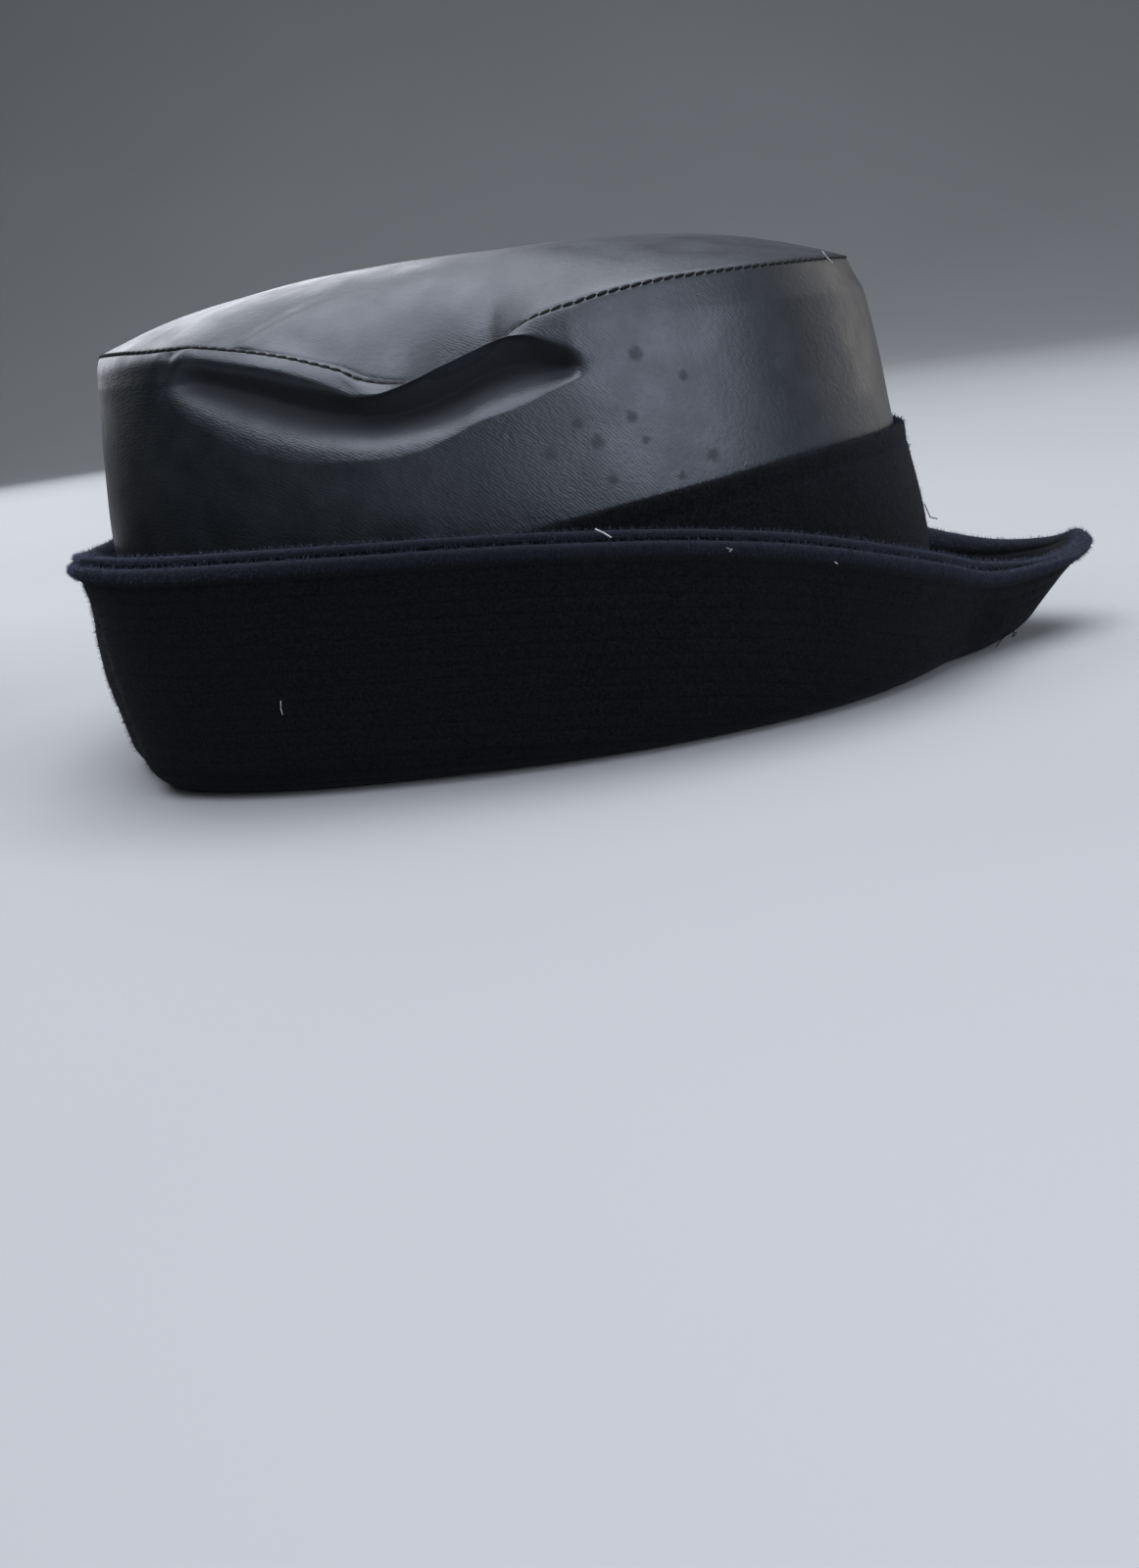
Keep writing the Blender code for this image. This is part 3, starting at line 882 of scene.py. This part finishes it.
def corners_of(mesh):
    """Corner points and distances down the cloth of the shown triangles of a cloth's mesh."""
    mesh.calc_loop_triangles()
    triangles = mesh.loop_triangles
    corners, loops = np.empty((2, len(triangles), 3), np.int32)
    hidden = np.empty(len(triangles), np.int32)
    triangles.foreach_get("vertices", corners.ravel())
    triangles.foreach_get("loops", loops.ravel())
    triangles.foreach_get("material_index", hidden)
    places = np.empty((len(mesh.vertices), 3), np.float32)
    mesh.vertices.foreach_get("co", places.ravel())
    around_and_down = np.empty((len(mesh.loops), 2), np.float32)
    mesh.uv_layers["UVMap"].uv.foreach_get("vector", around_and_down.ravel())
    shown = hidden == 0
    return places[corners[shown]].astype(float), around_and_down[loops[shown], 1]


# Materials

# Sockets of a colour Mix node: its share, its two colours and its result
SHARE, FROM, TO = 0, 6, 7
MIXED = 2

# Sizes of the wool's clumps, fibres and worn patches
CLUMP = 2.2 * MM
FIBRE = 0.6 * MM
WORN_PATCH = 22 * MM
FUZZ = 1.2 * MM
# Places along the hat: the wool's painted sheen is full at its back, half from waist to shoulder, and
# more again towards the bow
BACK, WAIST, SHOULDER, BOW = -0.11, -0.05, 0.02, 0.10

# Sizes of the coated cloth's grain, pores, dents and patches, and pitch of its twill
GRAIN = 1.1 * MM
PORE = 0.5 * MM
SHALLOW = 9 * MM
PATCH = 30 * MM
TWILL = 0.6 * MM
# A diagonal wave pattern's bands are this far apart at a scale of 1
DIAGONAL_BANDS = 0.36
STAIN_RAGGED = 1.5 * MM
STAIN_STRAY = 2.0 * MM
STAIN_STRENGTH = 0.45

# Width of a thread in the backing's weave, and threads of a straight wave pattern at a scale of 1
BACKING_THREAD = 0.9 * MM
STRAIGHT_BANDS = 6.3
TWIST = 0.3 * MM


def linear(hex_colour):
    """Linear colour of an sRGB hex value."""
    parts = [int(hex_colour[at : at + 2], 16) / 255 for at in (1, 3, 5)]
    return [((c + 0.055) / 1.055) ** 2.4 if c > 0.04045 else c / 12.92 for c in parts] + [1.0]


def add(tree, kind, inputs=None, **settings):
    """Adds a node with its settings. An input is a value, or an output that is linked to it."""
    node = tree.nodes.new(kind)
    for name, value in settings.items():
        setattr(node, name, value)
    for name, value in (inputs or {}).items():
        if isinstance(value, bpy.types.NodeSocket):
            tree.links.new(value, node.inputs[name])
        else:
            node.inputs[name].default_value = value
    return node


def new_material(name, finish):
    """A material with these values on its shader's own sockets, and its tree and shader."""
    material = bpy.data.materials.new(name)
    material.use_nodes = True
    shader = material.node_tree.nodes["Principled BSDF"]
    for socket, value in finish.items():
        shader.inputs[socket].default_value = value
    return material, material.node_tree, shader


def melton_wool(name, stitched):
    """Milled navy wool: matt, in soft clumps, with a fibrous ground that is worn paler in patches.
    Its fibres are drawn coarser than real ones, which would be too fine to show."""
    finish = {
        "Roughness": 0.95,
        "Specular IOR Level": 0.06,
        "Sheen Weight": 0.05,
        "Sheen Roughness": 0.5,
        "Sheen Tint": linear("#a3a7b8"),
    }
    material, tree, shader = new_material(name, finish)
    place = add(tree, "ShaderNodeTexCoord").outputs["Object"]
    clumps = add(
        tree, "ShaderNodeTexNoise",
        {"Vector": place, "Scale": 1 / CLUMP, "Detail": 5.0, "Roughness": 0.7},
    )
    fibres = add(
        tree, "ShaderNodeTexNoise",
        {"Vector": place, "Scale": 1 / FIBRE, "Detail": 3.0, "Roughness": 0.75},
    )
    patches = add(
        tree, "ShaderNodeTexNoise", {"Vector": place, "Scale": 1 / WORN_PATCH, "Detail": 2.0}
    )
    contrast = add(
        tree, "ShaderNodeMapRange", {"Value": fibres.outputs[0], "From Min": 0.36, "From Max": 0.68}
    )
    dyed = add(
        tree, "ShaderNodeMix",
        {SHARE: contrast.outputs[0], FROM: linear("#020203"), TO: linear("#141518")},
        data_type="RGBA",
    )
    worn = add(
        tree, "ShaderNodeMapRange",
        {"Value": patches.outputs[0], "From Min": 0.35, "From Max": 0.75, "To Max": 0.3},
    )
    base = add(
        tree, "ShaderNodeMix",
        {SHARE: worn.outputs[0], FROM: dyed.outputs[MIXED], TO: linear("#0f1013")},
        data_type="RGBA",
    ).outputs[MIXED]
    normal = add(
        tree, "ShaderNodeBump",
        {"Height": clumps.outputs[0], "Distance": 0.4 * MM, "Strength": 0.9},
    ).outputs[0]
    if stitched:
        base, normal = quilted(tree, place, base, normal)
    normal = add(
        tree, "ShaderNodeBump",
        {"Height": fibres.outputs[0], "Distance": 0.22 * MM, "Strength": 0.8, "Normal": normal},
    ).outputs[0]
    tree.links.new(base, shader.inputs["Base Color"])
    tree.links.new(normal, shader.inputs["Normal"])
    return material


def quilted(tree, place, base, normal):
    """The brim's rows of stitches: swollen ribs below the rolled edge with painted shade in the valley
    along each row, and a painted sheen on the rim, where the fibres stand up."""
    uv = add(tree, "ShaderNodeUVMap", uv_map="UVMap").outputs[0]
    down = add(tree, "ShaderNodeSeparateXYZ", {"Vector": uv}).outputs["Y"]
    below = add(tree, "ShaderNodeMath", {0: down, 1: FIRST_ROW}, operation="SUBTRACT").outputs[0]
    phase = add(tree, "ShaderNodeMath", {0: below, 1: math.pi / ROW_PITCH}, operation="MULTIPLY")
    swing = add(tree, "ShaderNodeMath", {0: phase.outputs[0]}, operation="SINE")
    wave = add(tree, "ShaderNodeMath", {0: swing.outputs[0]}, operation="ABSOLUTE").outputs[0]
    swollen = add(tree, "ShaderNodeMath", {0: wave, 1: 0.6}, operation="POWER")
    below_roll = add(
        tree, "ShaderNodeMapRange", {"Value": below, "From Min": -0.3 * MM, "From Max": 0.3 * MM}
    ).outputs[0]
    ribs = add(tree, "ShaderNodeMath", {0: swollen.outputs[0], 1: below_roll}, operation="MULTIPLY")
    normal = add(
        tree, "ShaderNodeBump",
        {"Height": ribs.outputs[0], "Distance": ROW_RELIEF, "Strength": 1.0, "Normal": normal},
    ).outputs[0]
    # Painted shade darkens the valley along each row of stitches
    valley_shade = add(
        tree, "ShaderNodeMapRange", {"Value": wave, "From Max": 0.35, "To Min": 0.5, "To Max": 0.0}
    )
    shaded = add(tree, "ShaderNodeMath", {0: valley_shade.outputs[0], 1: below_roll}, operation="MULTIPLY")
    base = add(
        tree, "ShaderNodeMix",
        {SHARE: shaded.outputs[0], FROM: base, TO: linear("#030304")},
        data_type="RGBA",
    ).outputs[MIXED]
    # Painted sheen: the rolled rim is paler, the more so behind and at the bow
    rim = add(
        tree, "ShaderNodeMapRange",
        {"Value": down, "From Min": 0.6 * MM, "From Max": 4.2 * MM, "To Min": 0.75, "To Max": 0.0},
        interpolation_type="SMOOTHSTEP",
    )
    rim_sheen = add(
        tree, "ShaderNodeMath", {0: rim.outputs[0], 1: sheen_by_place(tree, place)}, operation="MULTIPLY"
    )
    base = add(
        tree, "ShaderNodeMix",
        {SHARE: rim_sheen.outputs[0], FROM: base, TO: linear("#2b2d38")},
        data_type="RGBA",
    ).outputs[MIXED]
    return base, normal


def sheen_by_place(tree, place):
    """Strength of the wool's painted sheen: 1 behind, less along the sides, and middling at the bow.
    """
    along = add(tree, "ShaderNodeSeparateXYZ", {"Vector": place}).outputs["X"]
    behind = add(
        tree, "ShaderNodeMapRange",
        {"Value": along, "From Min": BACK, "From Max": WAIST, "To Min": 1.0, "To Max": 0.5},
    )
    bow = add(
        tree, "ShaderNodeMapRange",
        {"Value": along, "From Min": SHOULDER, "From Max": BOW, "To Max": 0.35},
    )
    return add(tree, "ShaderNodeMath", {0: behind.outputs[0], 1: bow.outputs[0]}).outputs[0]


def stained(tree, place, stains):
    """1 in the middle of each stain, falling softly to 0 at its ragged edge."""
    ragged = add(
        tree, "ShaderNodeTexNoise", {"Vector": place, "Scale": 1 / STAIN_RAGGED, "Detail": 2.0}
    )
    moved = add(
        tree, "ShaderNodeVectorMath",
        {0: ragged.outputs["Color"], 1: (STAIN_STRAY, STAIN_STRAY, STAIN_STRAY), 2: place},
        operation="MULTIPLY_ADD",
    )
    marked = 0.0
    for x, y, z, radius in stains:
        centre = Vector((x, y, z)) * MM + Vector((STAIN_STRAY, STAIN_STRAY, STAIN_STRAY)) / 2
        apart = add(
            tree, "ShaderNodeVectorMath", {0: moved.outputs[0], 1: centre}, operation="DISTANCE"
        )
        spot = add(
            tree, "ShaderNodeMapRange",
            {
                "Value": apart.outputs["Value"],
                "From Min": 0.25 * radius * MM,
                "From Max": radius * MM,
                "To Min": 1.0,
                "To Max": 0.0,
            },
            interpolation_type="SMOOTHSTEP",
        )
        marked = add(
            tree, "ShaderNodeMath", {0: spot.outputs[0], 1: marked}, operation="MAXIMUM"
        ).outputs[0]
    return marked


def coated_cloth(name, stains):
    """Waterproof coated cloth, embossed: slightly glossy over a fine grain and a slanting twill,
    with soft scuffs. The wall also has a few dull stains, and painted shade makes its dent black and
    dull inside the fold, where no light reaches. Grain and twill are drawn coarser than the real
    ones, so that they show."""
    material, tree, shader = new_material(name, {"IOR": 1.6, "Specular Tint": linear("#e9effd")})
    place = add(tree, "ShaderNodeTexCoord").outputs["Object"]
    grain = add(
        tree, "ShaderNodeTexVoronoi", {"Vector": place, "Scale": 1 / GRAIN}, feature="SMOOTH_F1"
    )
    pores = add(tree, "ShaderNodeTexNoise", {"Vector": place, "Scale": 1 / PORE, "Detail": 3.0})
    soft = add(tree, "ShaderNodeTexNoise", {"Vector": place, "Scale": 1 / SHALLOW, "Detail": 3.0})
    patches = add(tree, "ShaderNodeTexNoise", {"Vector": place, "Scale": 1 / PATCH, "Detail": 3.0})
    twill = add(
        tree, "ShaderNodeTexWave",
        {
            "Vector": place,
            "Scale": DIAGONAL_BANDS / TWILL,
            "Distortion": 9.0,
            "Detail": 3.0,
            "Detail Scale": 0.6,
        },
        bands_direction="DIAGONAL",
    )
    normal = add(
        tree, "ShaderNodeBump",
        {"Height": soft.outputs[0], "Distance": 0.25 * MM, "Strength": 0.5},
    ).outputs[0]
    for height, relief, strength in (
        (grain.outputs[0], 0.08 * MM, 0.6),
        (pores.outputs[0], 0.05 * MM, 0.6),
        (twill.outputs["Fac"], 0.04 * MM, 0.35),
    ):
        normal = add(
            tree, "ShaderNodeBump",
            {"Height": height, "Distance": relief, "Strength": strength, "Normal": normal},
        ).outputs[0]
    colour = add(
        tree, "ShaderNodeMix",
        {SHARE: patches.outputs[0], FROM: linear("#0d0f11"), TO: linear("#171a1d")},
        data_type="RGBA",
    )
    scuffed = add(
        tree, "ShaderNodeMapRange",
        {"Value": soft.outputs[0], "From Min": 0.3, "From Max": 0.7, "To Min": 0.37, "To Max": 0.5},
    )
    stain_and_groove_shade = 0.0
    if stains:
        # Painted shade of the dent's groove, read from its UV map, joins the real stains
        uv = add(tree, "ShaderNodeUVMap", uv_map="GrooveShadeMap").outputs[0]
        groove_shade_share = add(tree, "ShaderNodeSeparateXYZ", {"Vector": uv}).outputs["X"]
        marked = add(
            tree, "ShaderNodeMath",
            {0: stained(tree, place, stains), 1: STAIN_STRENGTH},
            operation="MULTIPLY",
        )
        stain_and_groove_shade = add(
            tree, "ShaderNodeMath", {0: groove_shade_share, 1: marked.outputs[0]}, operation="MAXIMUM"
        ).outputs[0]
    rough = add(
        tree, "ShaderNodeMapRange", {"Value": stain_and_groove_shade, "To Min": scuffed.outputs[0], "To Max": 0.92}
    )
    # Painted shade in the groove, and the stains, turn the colour black
    colour = add(
        tree, "ShaderNodeMix",
        {SHARE: stain_and_groove_shade, FROM: colour.outputs[MIXED], TO: linear("#020202")},
        data_type="RGBA",
    )
    tree.links.new(colour.outputs[MIXED], shader.inputs["Base Color"])
    tree.links.new(rough.outputs[0], shader.inputs["Roughness"])
    tree.links.new(normal, shader.inputs["Normal"])
    return material


def woven_backing(name):
    """Cotton backing of the coated cloth, seen inside the crown: a plain dark weave, matt, drawn
    coarser than real threads so that it shows."""
    material, tree, shader = new_material(name, {"Roughness": 0.9})
    uv = add(tree, "ShaderNodeUVMap", uv_map="UVMap").outputs[0]
    scale = 1 / (STRAIGHT_BANDS * BACKING_THREAD)
    warp, weft = [
        add(tree, "ShaderNodeTexWave", {"Vector": uv, "Scale": scale}, bands_direction=direction)
        for direction in ("X", "Y")
    ]
    weave = add(
        tree, "ShaderNodeMath",
        {0: warp.outputs["Fac"], 1: weft.outputs["Fac"]},
        operation="MULTIPLY",
    )
    colour = add(
        tree, "ShaderNodeMix",
        {SHARE: weave.outputs[0], FROM: linear("#17191c"), TO: linear("#2c2f34")},
        data_type="RGBA",
    )
    normal = add(
        tree, "ShaderNodeBump",
        {"Height": weave.outputs[0], "Distance": 0.15 * MM, "Strength": 0.8},
    )
    tree.links.new(colour.outputs[MIXED], shader.inputs["Base Color"])
    tree.links.new(normal.outputs[0], shader.inputs["Normal"])
    return material


def wool_nap(name, dark, pale):
    """Loose fibres of the navy wool: a painted sheen makes a paler, bluer haze over their darker
    ground.
    """
    material, tree, shader = new_material(name, {"Roughness": 0.9, "Specular IOR Level": 0.1})
    place = add(tree, "ShaderNodeTexCoord").outputs["Object"]
    fuzz = add(tree, "ShaderNodeTexNoise", {"Vector": place, "Scale": 1 / FUZZ, "Detail": 1.0})
    # Painted sheen: hairs turn pale in fuzzy patches, most of all behind
    share = add(
        tree, "ShaderNodeMath", {0: fuzz.outputs[0], 1: sheen_by_place(tree, place)}, operation="MULTIPLY"
    )
    colour = add(
        tree, "ShaderNodeMix",
        {SHARE: share.outputs[0], FROM: linear(dark), TO: linear(pale)},
        data_type="RGBA",
    )
    tree.links.new(colour.outputs[MIXED], shader.inputs["Base Color"])
    return material


def sewing_thread(name):
    """Waxed black sewing thread: dark, with a faint shine along its twist."""
    material, tree, shader = new_material(name, {"Roughness": 0.7, "Specular IOR Level": 0.2})
    place = add(tree, "ShaderNodeTexCoord").outputs["Object"]
    twist = add(tree, "ShaderNodeTexNoise", {"Vector": place, "Scale": 1 / TWIST, "Detail": 2.0})
    colour = add(
        tree, "ShaderNodeMix",
        {SHARE: twist.outputs[0], FROM: linear("#040405"), TO: linear("#0d0e10")},
        data_type="RGBA",
    )
    tree.links.new(colour.outputs[MIXED], shader.inputs["Base Color"])
    return material


def paper_floor(name):
    """Plain pale paper under the hat, faintly mottled in patches a third of a metre wide."""
    material, tree, shader = new_material(name, {"Roughness": 0.9})
    place = add(tree, "ShaderNodeTexCoord").outputs["Object"]
    mottle = add(tree, "ShaderNodeTexNoise", {"Vector": place, "Scale": 3.0, "Detail": 2.0})
    colour = add(
        tree, "ShaderNodeMix",
        {SHARE: mottle.outputs[0], FROM: linear("#8c8e90"), TO: linear("#949698")},
        data_type="RGBA",
    )
    tree.links.new(colour.outputs[MIXED], shader.inputs["Base Color"])
    return material


# Stage, in metres

# The view looks down by its pitch and is turned by the hat's tilt in the photograph
PITCH = math.radians(14.5)
TILT = math.radians(7.4)
VIEW_DISTANCE = 0.47
VIEW_HEIGHT = 0.094
VIEW_SHIFT = -0.0107
FOCAL_LENGTH = 40.5

# The floor lies just under the hat, so that no two faces share its level
FLOOR = -0.2 * MM
FLOOR_FRONT = -4.0
FLOOR_BACK = 1.8
FLOOR_SIDE = 5.0
SWEEP_RADIUS = 1.4
SWEEP_STEPS = 16
SWEEP_TOP = 4.0

# Black cards left of the hat, which keep that side of the crown dark: front, back and height. The
# camera doesn't see them, so that they never stand in front of the hat.
CARDS = {"card": (-0.55, 0.12, 0.30), "low_card": (0.12, 0.22, 0.14)}
CARD_PLACE = (-0.32, 0.0, 1 * MM)

# Place, aim, size, watts and colour of each light
LIGHTS = {
    "front window": ((0.73, -1.09, 0.40), (0.0, 0.0, 0.05), (1.25, 0.9), 15.5, "#eaeffb"),
    "side window": ((1.2, 0.8, 0.4), (0.0, 0.0, 0.05), (0.7, 0.7), 2.4, "#fff8f0"),
    "back window": ((-0.8, 1.25, 0.7), (0.0, 0.0, 0.08), (1.5, 1.1), 17.0, "#f6f8ff"),
    "ceiling": ((-0.1, -0.1, 1.5), (0.0, 0.0, 0.0), (1.8, 2.4), 62.0, "#f4f7ff"),
}
ROOM_LIGHT = ("#dfe3e8", 0.16)


def camera():
    """The photograph's view of the hat."""
    right = Vector((math.cos(TILT), 0, -math.sin(TILT)))
    ahead = Vector(
        (-math.sin(PITCH) * math.sin(TILT), math.cos(PITCH), -math.sin(PITCH) * math.cos(TILT))
    )
    up = right.cross(ahead)
    place = (
        VIEW_SHIFT + math.sin(TILT) * VIEW_HEIGHT,
        -VIEW_DISTANCE,
        math.cos(TILT) * VIEW_HEIGHT,
    )
    lens = bpy.data.cameras.new("camera")
    lens.lens = FOCAL_LENGTH
    lens.clip_start = 0.01
    view = bpy.data.objects.new("camera", lens)
    turned = Matrix((right, up, -ahead)).transposed().to_4x4()
    view.matrix_world = Matrix.Translation(place) @ turned
    bpy.context.scene.collection.objects.link(view)
    bpy.context.scene.camera = view


def soft_light(name, place, aim, size, watts, colour):
    """A rectangular lamp that faces its aim."""
    light = bpy.data.lights.new(name, "AREA")
    light.shape = "RECTANGLE"
    light.size, light.size_y = size
    light.energy = watts
    light.color = linear(colour)[:3]
    lamp = bpy.data.objects.new(name, light)
    lamp.location = place
    lamp.rotation_euler = (Vector(aim) - Vector(place)).to_track_quat("-Z", "Y").to_euler()
    bpy.context.scene.collection.objects.link(lamp)


def plain_panel(name, profile, left, right, material):
    """A thin panel with this (y, z) profile, reaching from left to right."""
    shape = bmesh.new()
    bmesh.ops.create_grid(shape, x_segments=1, y_segments=len(profile) - 1, size=0.5)
    for at, corner in enumerate(shape.verts):
        corner.co = (right if at % 2 else left, *profile[at // 2])
    return finished(name, shape, [material])


def stage():
    """A pale paper sweep, black cards out of the picture, and the soft light of a room."""
    profile = [(FLOOR_FRONT, FLOOR), (FLOOR_BACK, FLOOR)]
    for step in range(1, SWEEP_STEPS + 1):
        turn = math.pi / 2 * step / SWEEP_STEPS
        rise = SWEEP_RADIUS - SWEEP_RADIUS * math.cos(turn)
        profile.append((FLOOR_BACK + SWEEP_RADIUS * math.sin(turn), rise))
    profile.append((FLOOR_BACK + SWEEP_RADIUS, SWEEP_TOP))
    paper = paper_floor("backdrop paper")
    plain_panel("backdrop", profile, -FLOOR_SIDE, FLOOR_SIDE, paper)
    black, _, _ = new_material("black card", {"Base Color": linear("#0a0a0b"), "Roughness": 1.0})
    upright = Matrix.Translation(CARD_PLACE) @ Matrix.Rotation(-math.pi / 2, 4, "Y")
    for name, (front, back, height) in CARDS.items():
        card = plain_panel(name, [(front, 0.0), (back, 0.0)], 0.0, height, black)
        card.data.transform(upright)
        card.visible_camera = False
    world = bpy.data.worlds.new("studio")
    world.use_nodes = True
    background = world.node_tree.nodes["Background"]
    background.inputs["Color"].default_value = linear(ROOM_LIGHT[0])
    background.inputs["Strength"].default_value = ROOM_LIGHT[1]
    bpy.context.scene.world = world
    bpy.context.scene.view_settings.view_transform = "Standard"
    for name, light in LIGHTS.items():
        soft_light(name, *light)


# The hat


def dress():
    """Makes the hat's pieces, hides the imported parts they stand for, and attaches them to the hat's
    root body.
    """
    coated = coated_cloth("coated cloth", STAINS)
    backing = woven_backing("woven backing")
    plain_coated = coated_cloth("plain coated cloth", ())
    outer_wool = melton_wool("outer melton wool", True)
    inner_wool = melton_wool("inner melton wool", True)
    band_wool = melton_wool("band melton wool", False)
    plain_wool = melton_wool("plain melton wool", False)
    outer, inner = brim_cloths(outer_wool, inner_wool, plain_wool)
    wall = crown_wall_cloth(coated, backing)
    top = crown_top_cloth(plain_coated, backing)
    band = band_cloth(band_wool, plain_wool)
    thread = seam_thread(sewing_thread("sewing thread"))
    for piece, node, slot in (
        (wall, "crown_side", "crown_side_cloth"),
        (top, "crown_top", "crown_top_cloth"),
        (band, "hat_band", "band_wool"),
        (outer, "brim_outer", "outer_wool"),
        (inner, "brim_inner", "inner_wool"),
    ):
        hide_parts(node)
        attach(piece, "root")
    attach(thread, "root")
    # A bed is a cloth, how far down it hairs grow, how steeply up it faces there, and their number
    rim_beds = [(outer, 3 * MM, -1.0, 15000), (inner, 3 * MM, -1.0, 15000)]
    face_beds = [(outer, 52 * MM, -0.5, 16000)]
    band_beds = [(band, SEAM_HEIGHT, 0.4, 3000), (band, SEAM_HEIGHT, -1.0, 6000)]
    # Each nap's colours run from its dark ground to its painted sheen
    for name, slot, beds, hair_ground_and_sheen in (
        ("rim_nap", "outer_wool", rim_beds, ("#14161d", "#4a4f65")),
        ("face_nap", "outer_wool", face_beds, ("#0b0c0e", "#1d1f26")),
        ("band_nap", "band_wool", band_beds, ("#0f1217", "#252a35")),
    ):
        piece = nap(name, beds, wool_nap(name.replace("_", " "), *hair_ground_and_sheen))
        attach(piece, "root")
    pale, _, _ = new_material("pale lint", {"Base Color": linear("#9a9a98"), "Roughness": 0.9})
    for name, strands, strand in (
        ("pale_lint", PALE_LINT, pale),
        ("loose_threads", DARK_THREADS, sewing_thread("loose thread")),
    ):
        piece = loose_pieces(name, strands, strand)
        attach(piece, "root")


bpy.ops.object.select_all(action="SELECT")
bpy.ops.object.delete()
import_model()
dress()
stage()
camera()
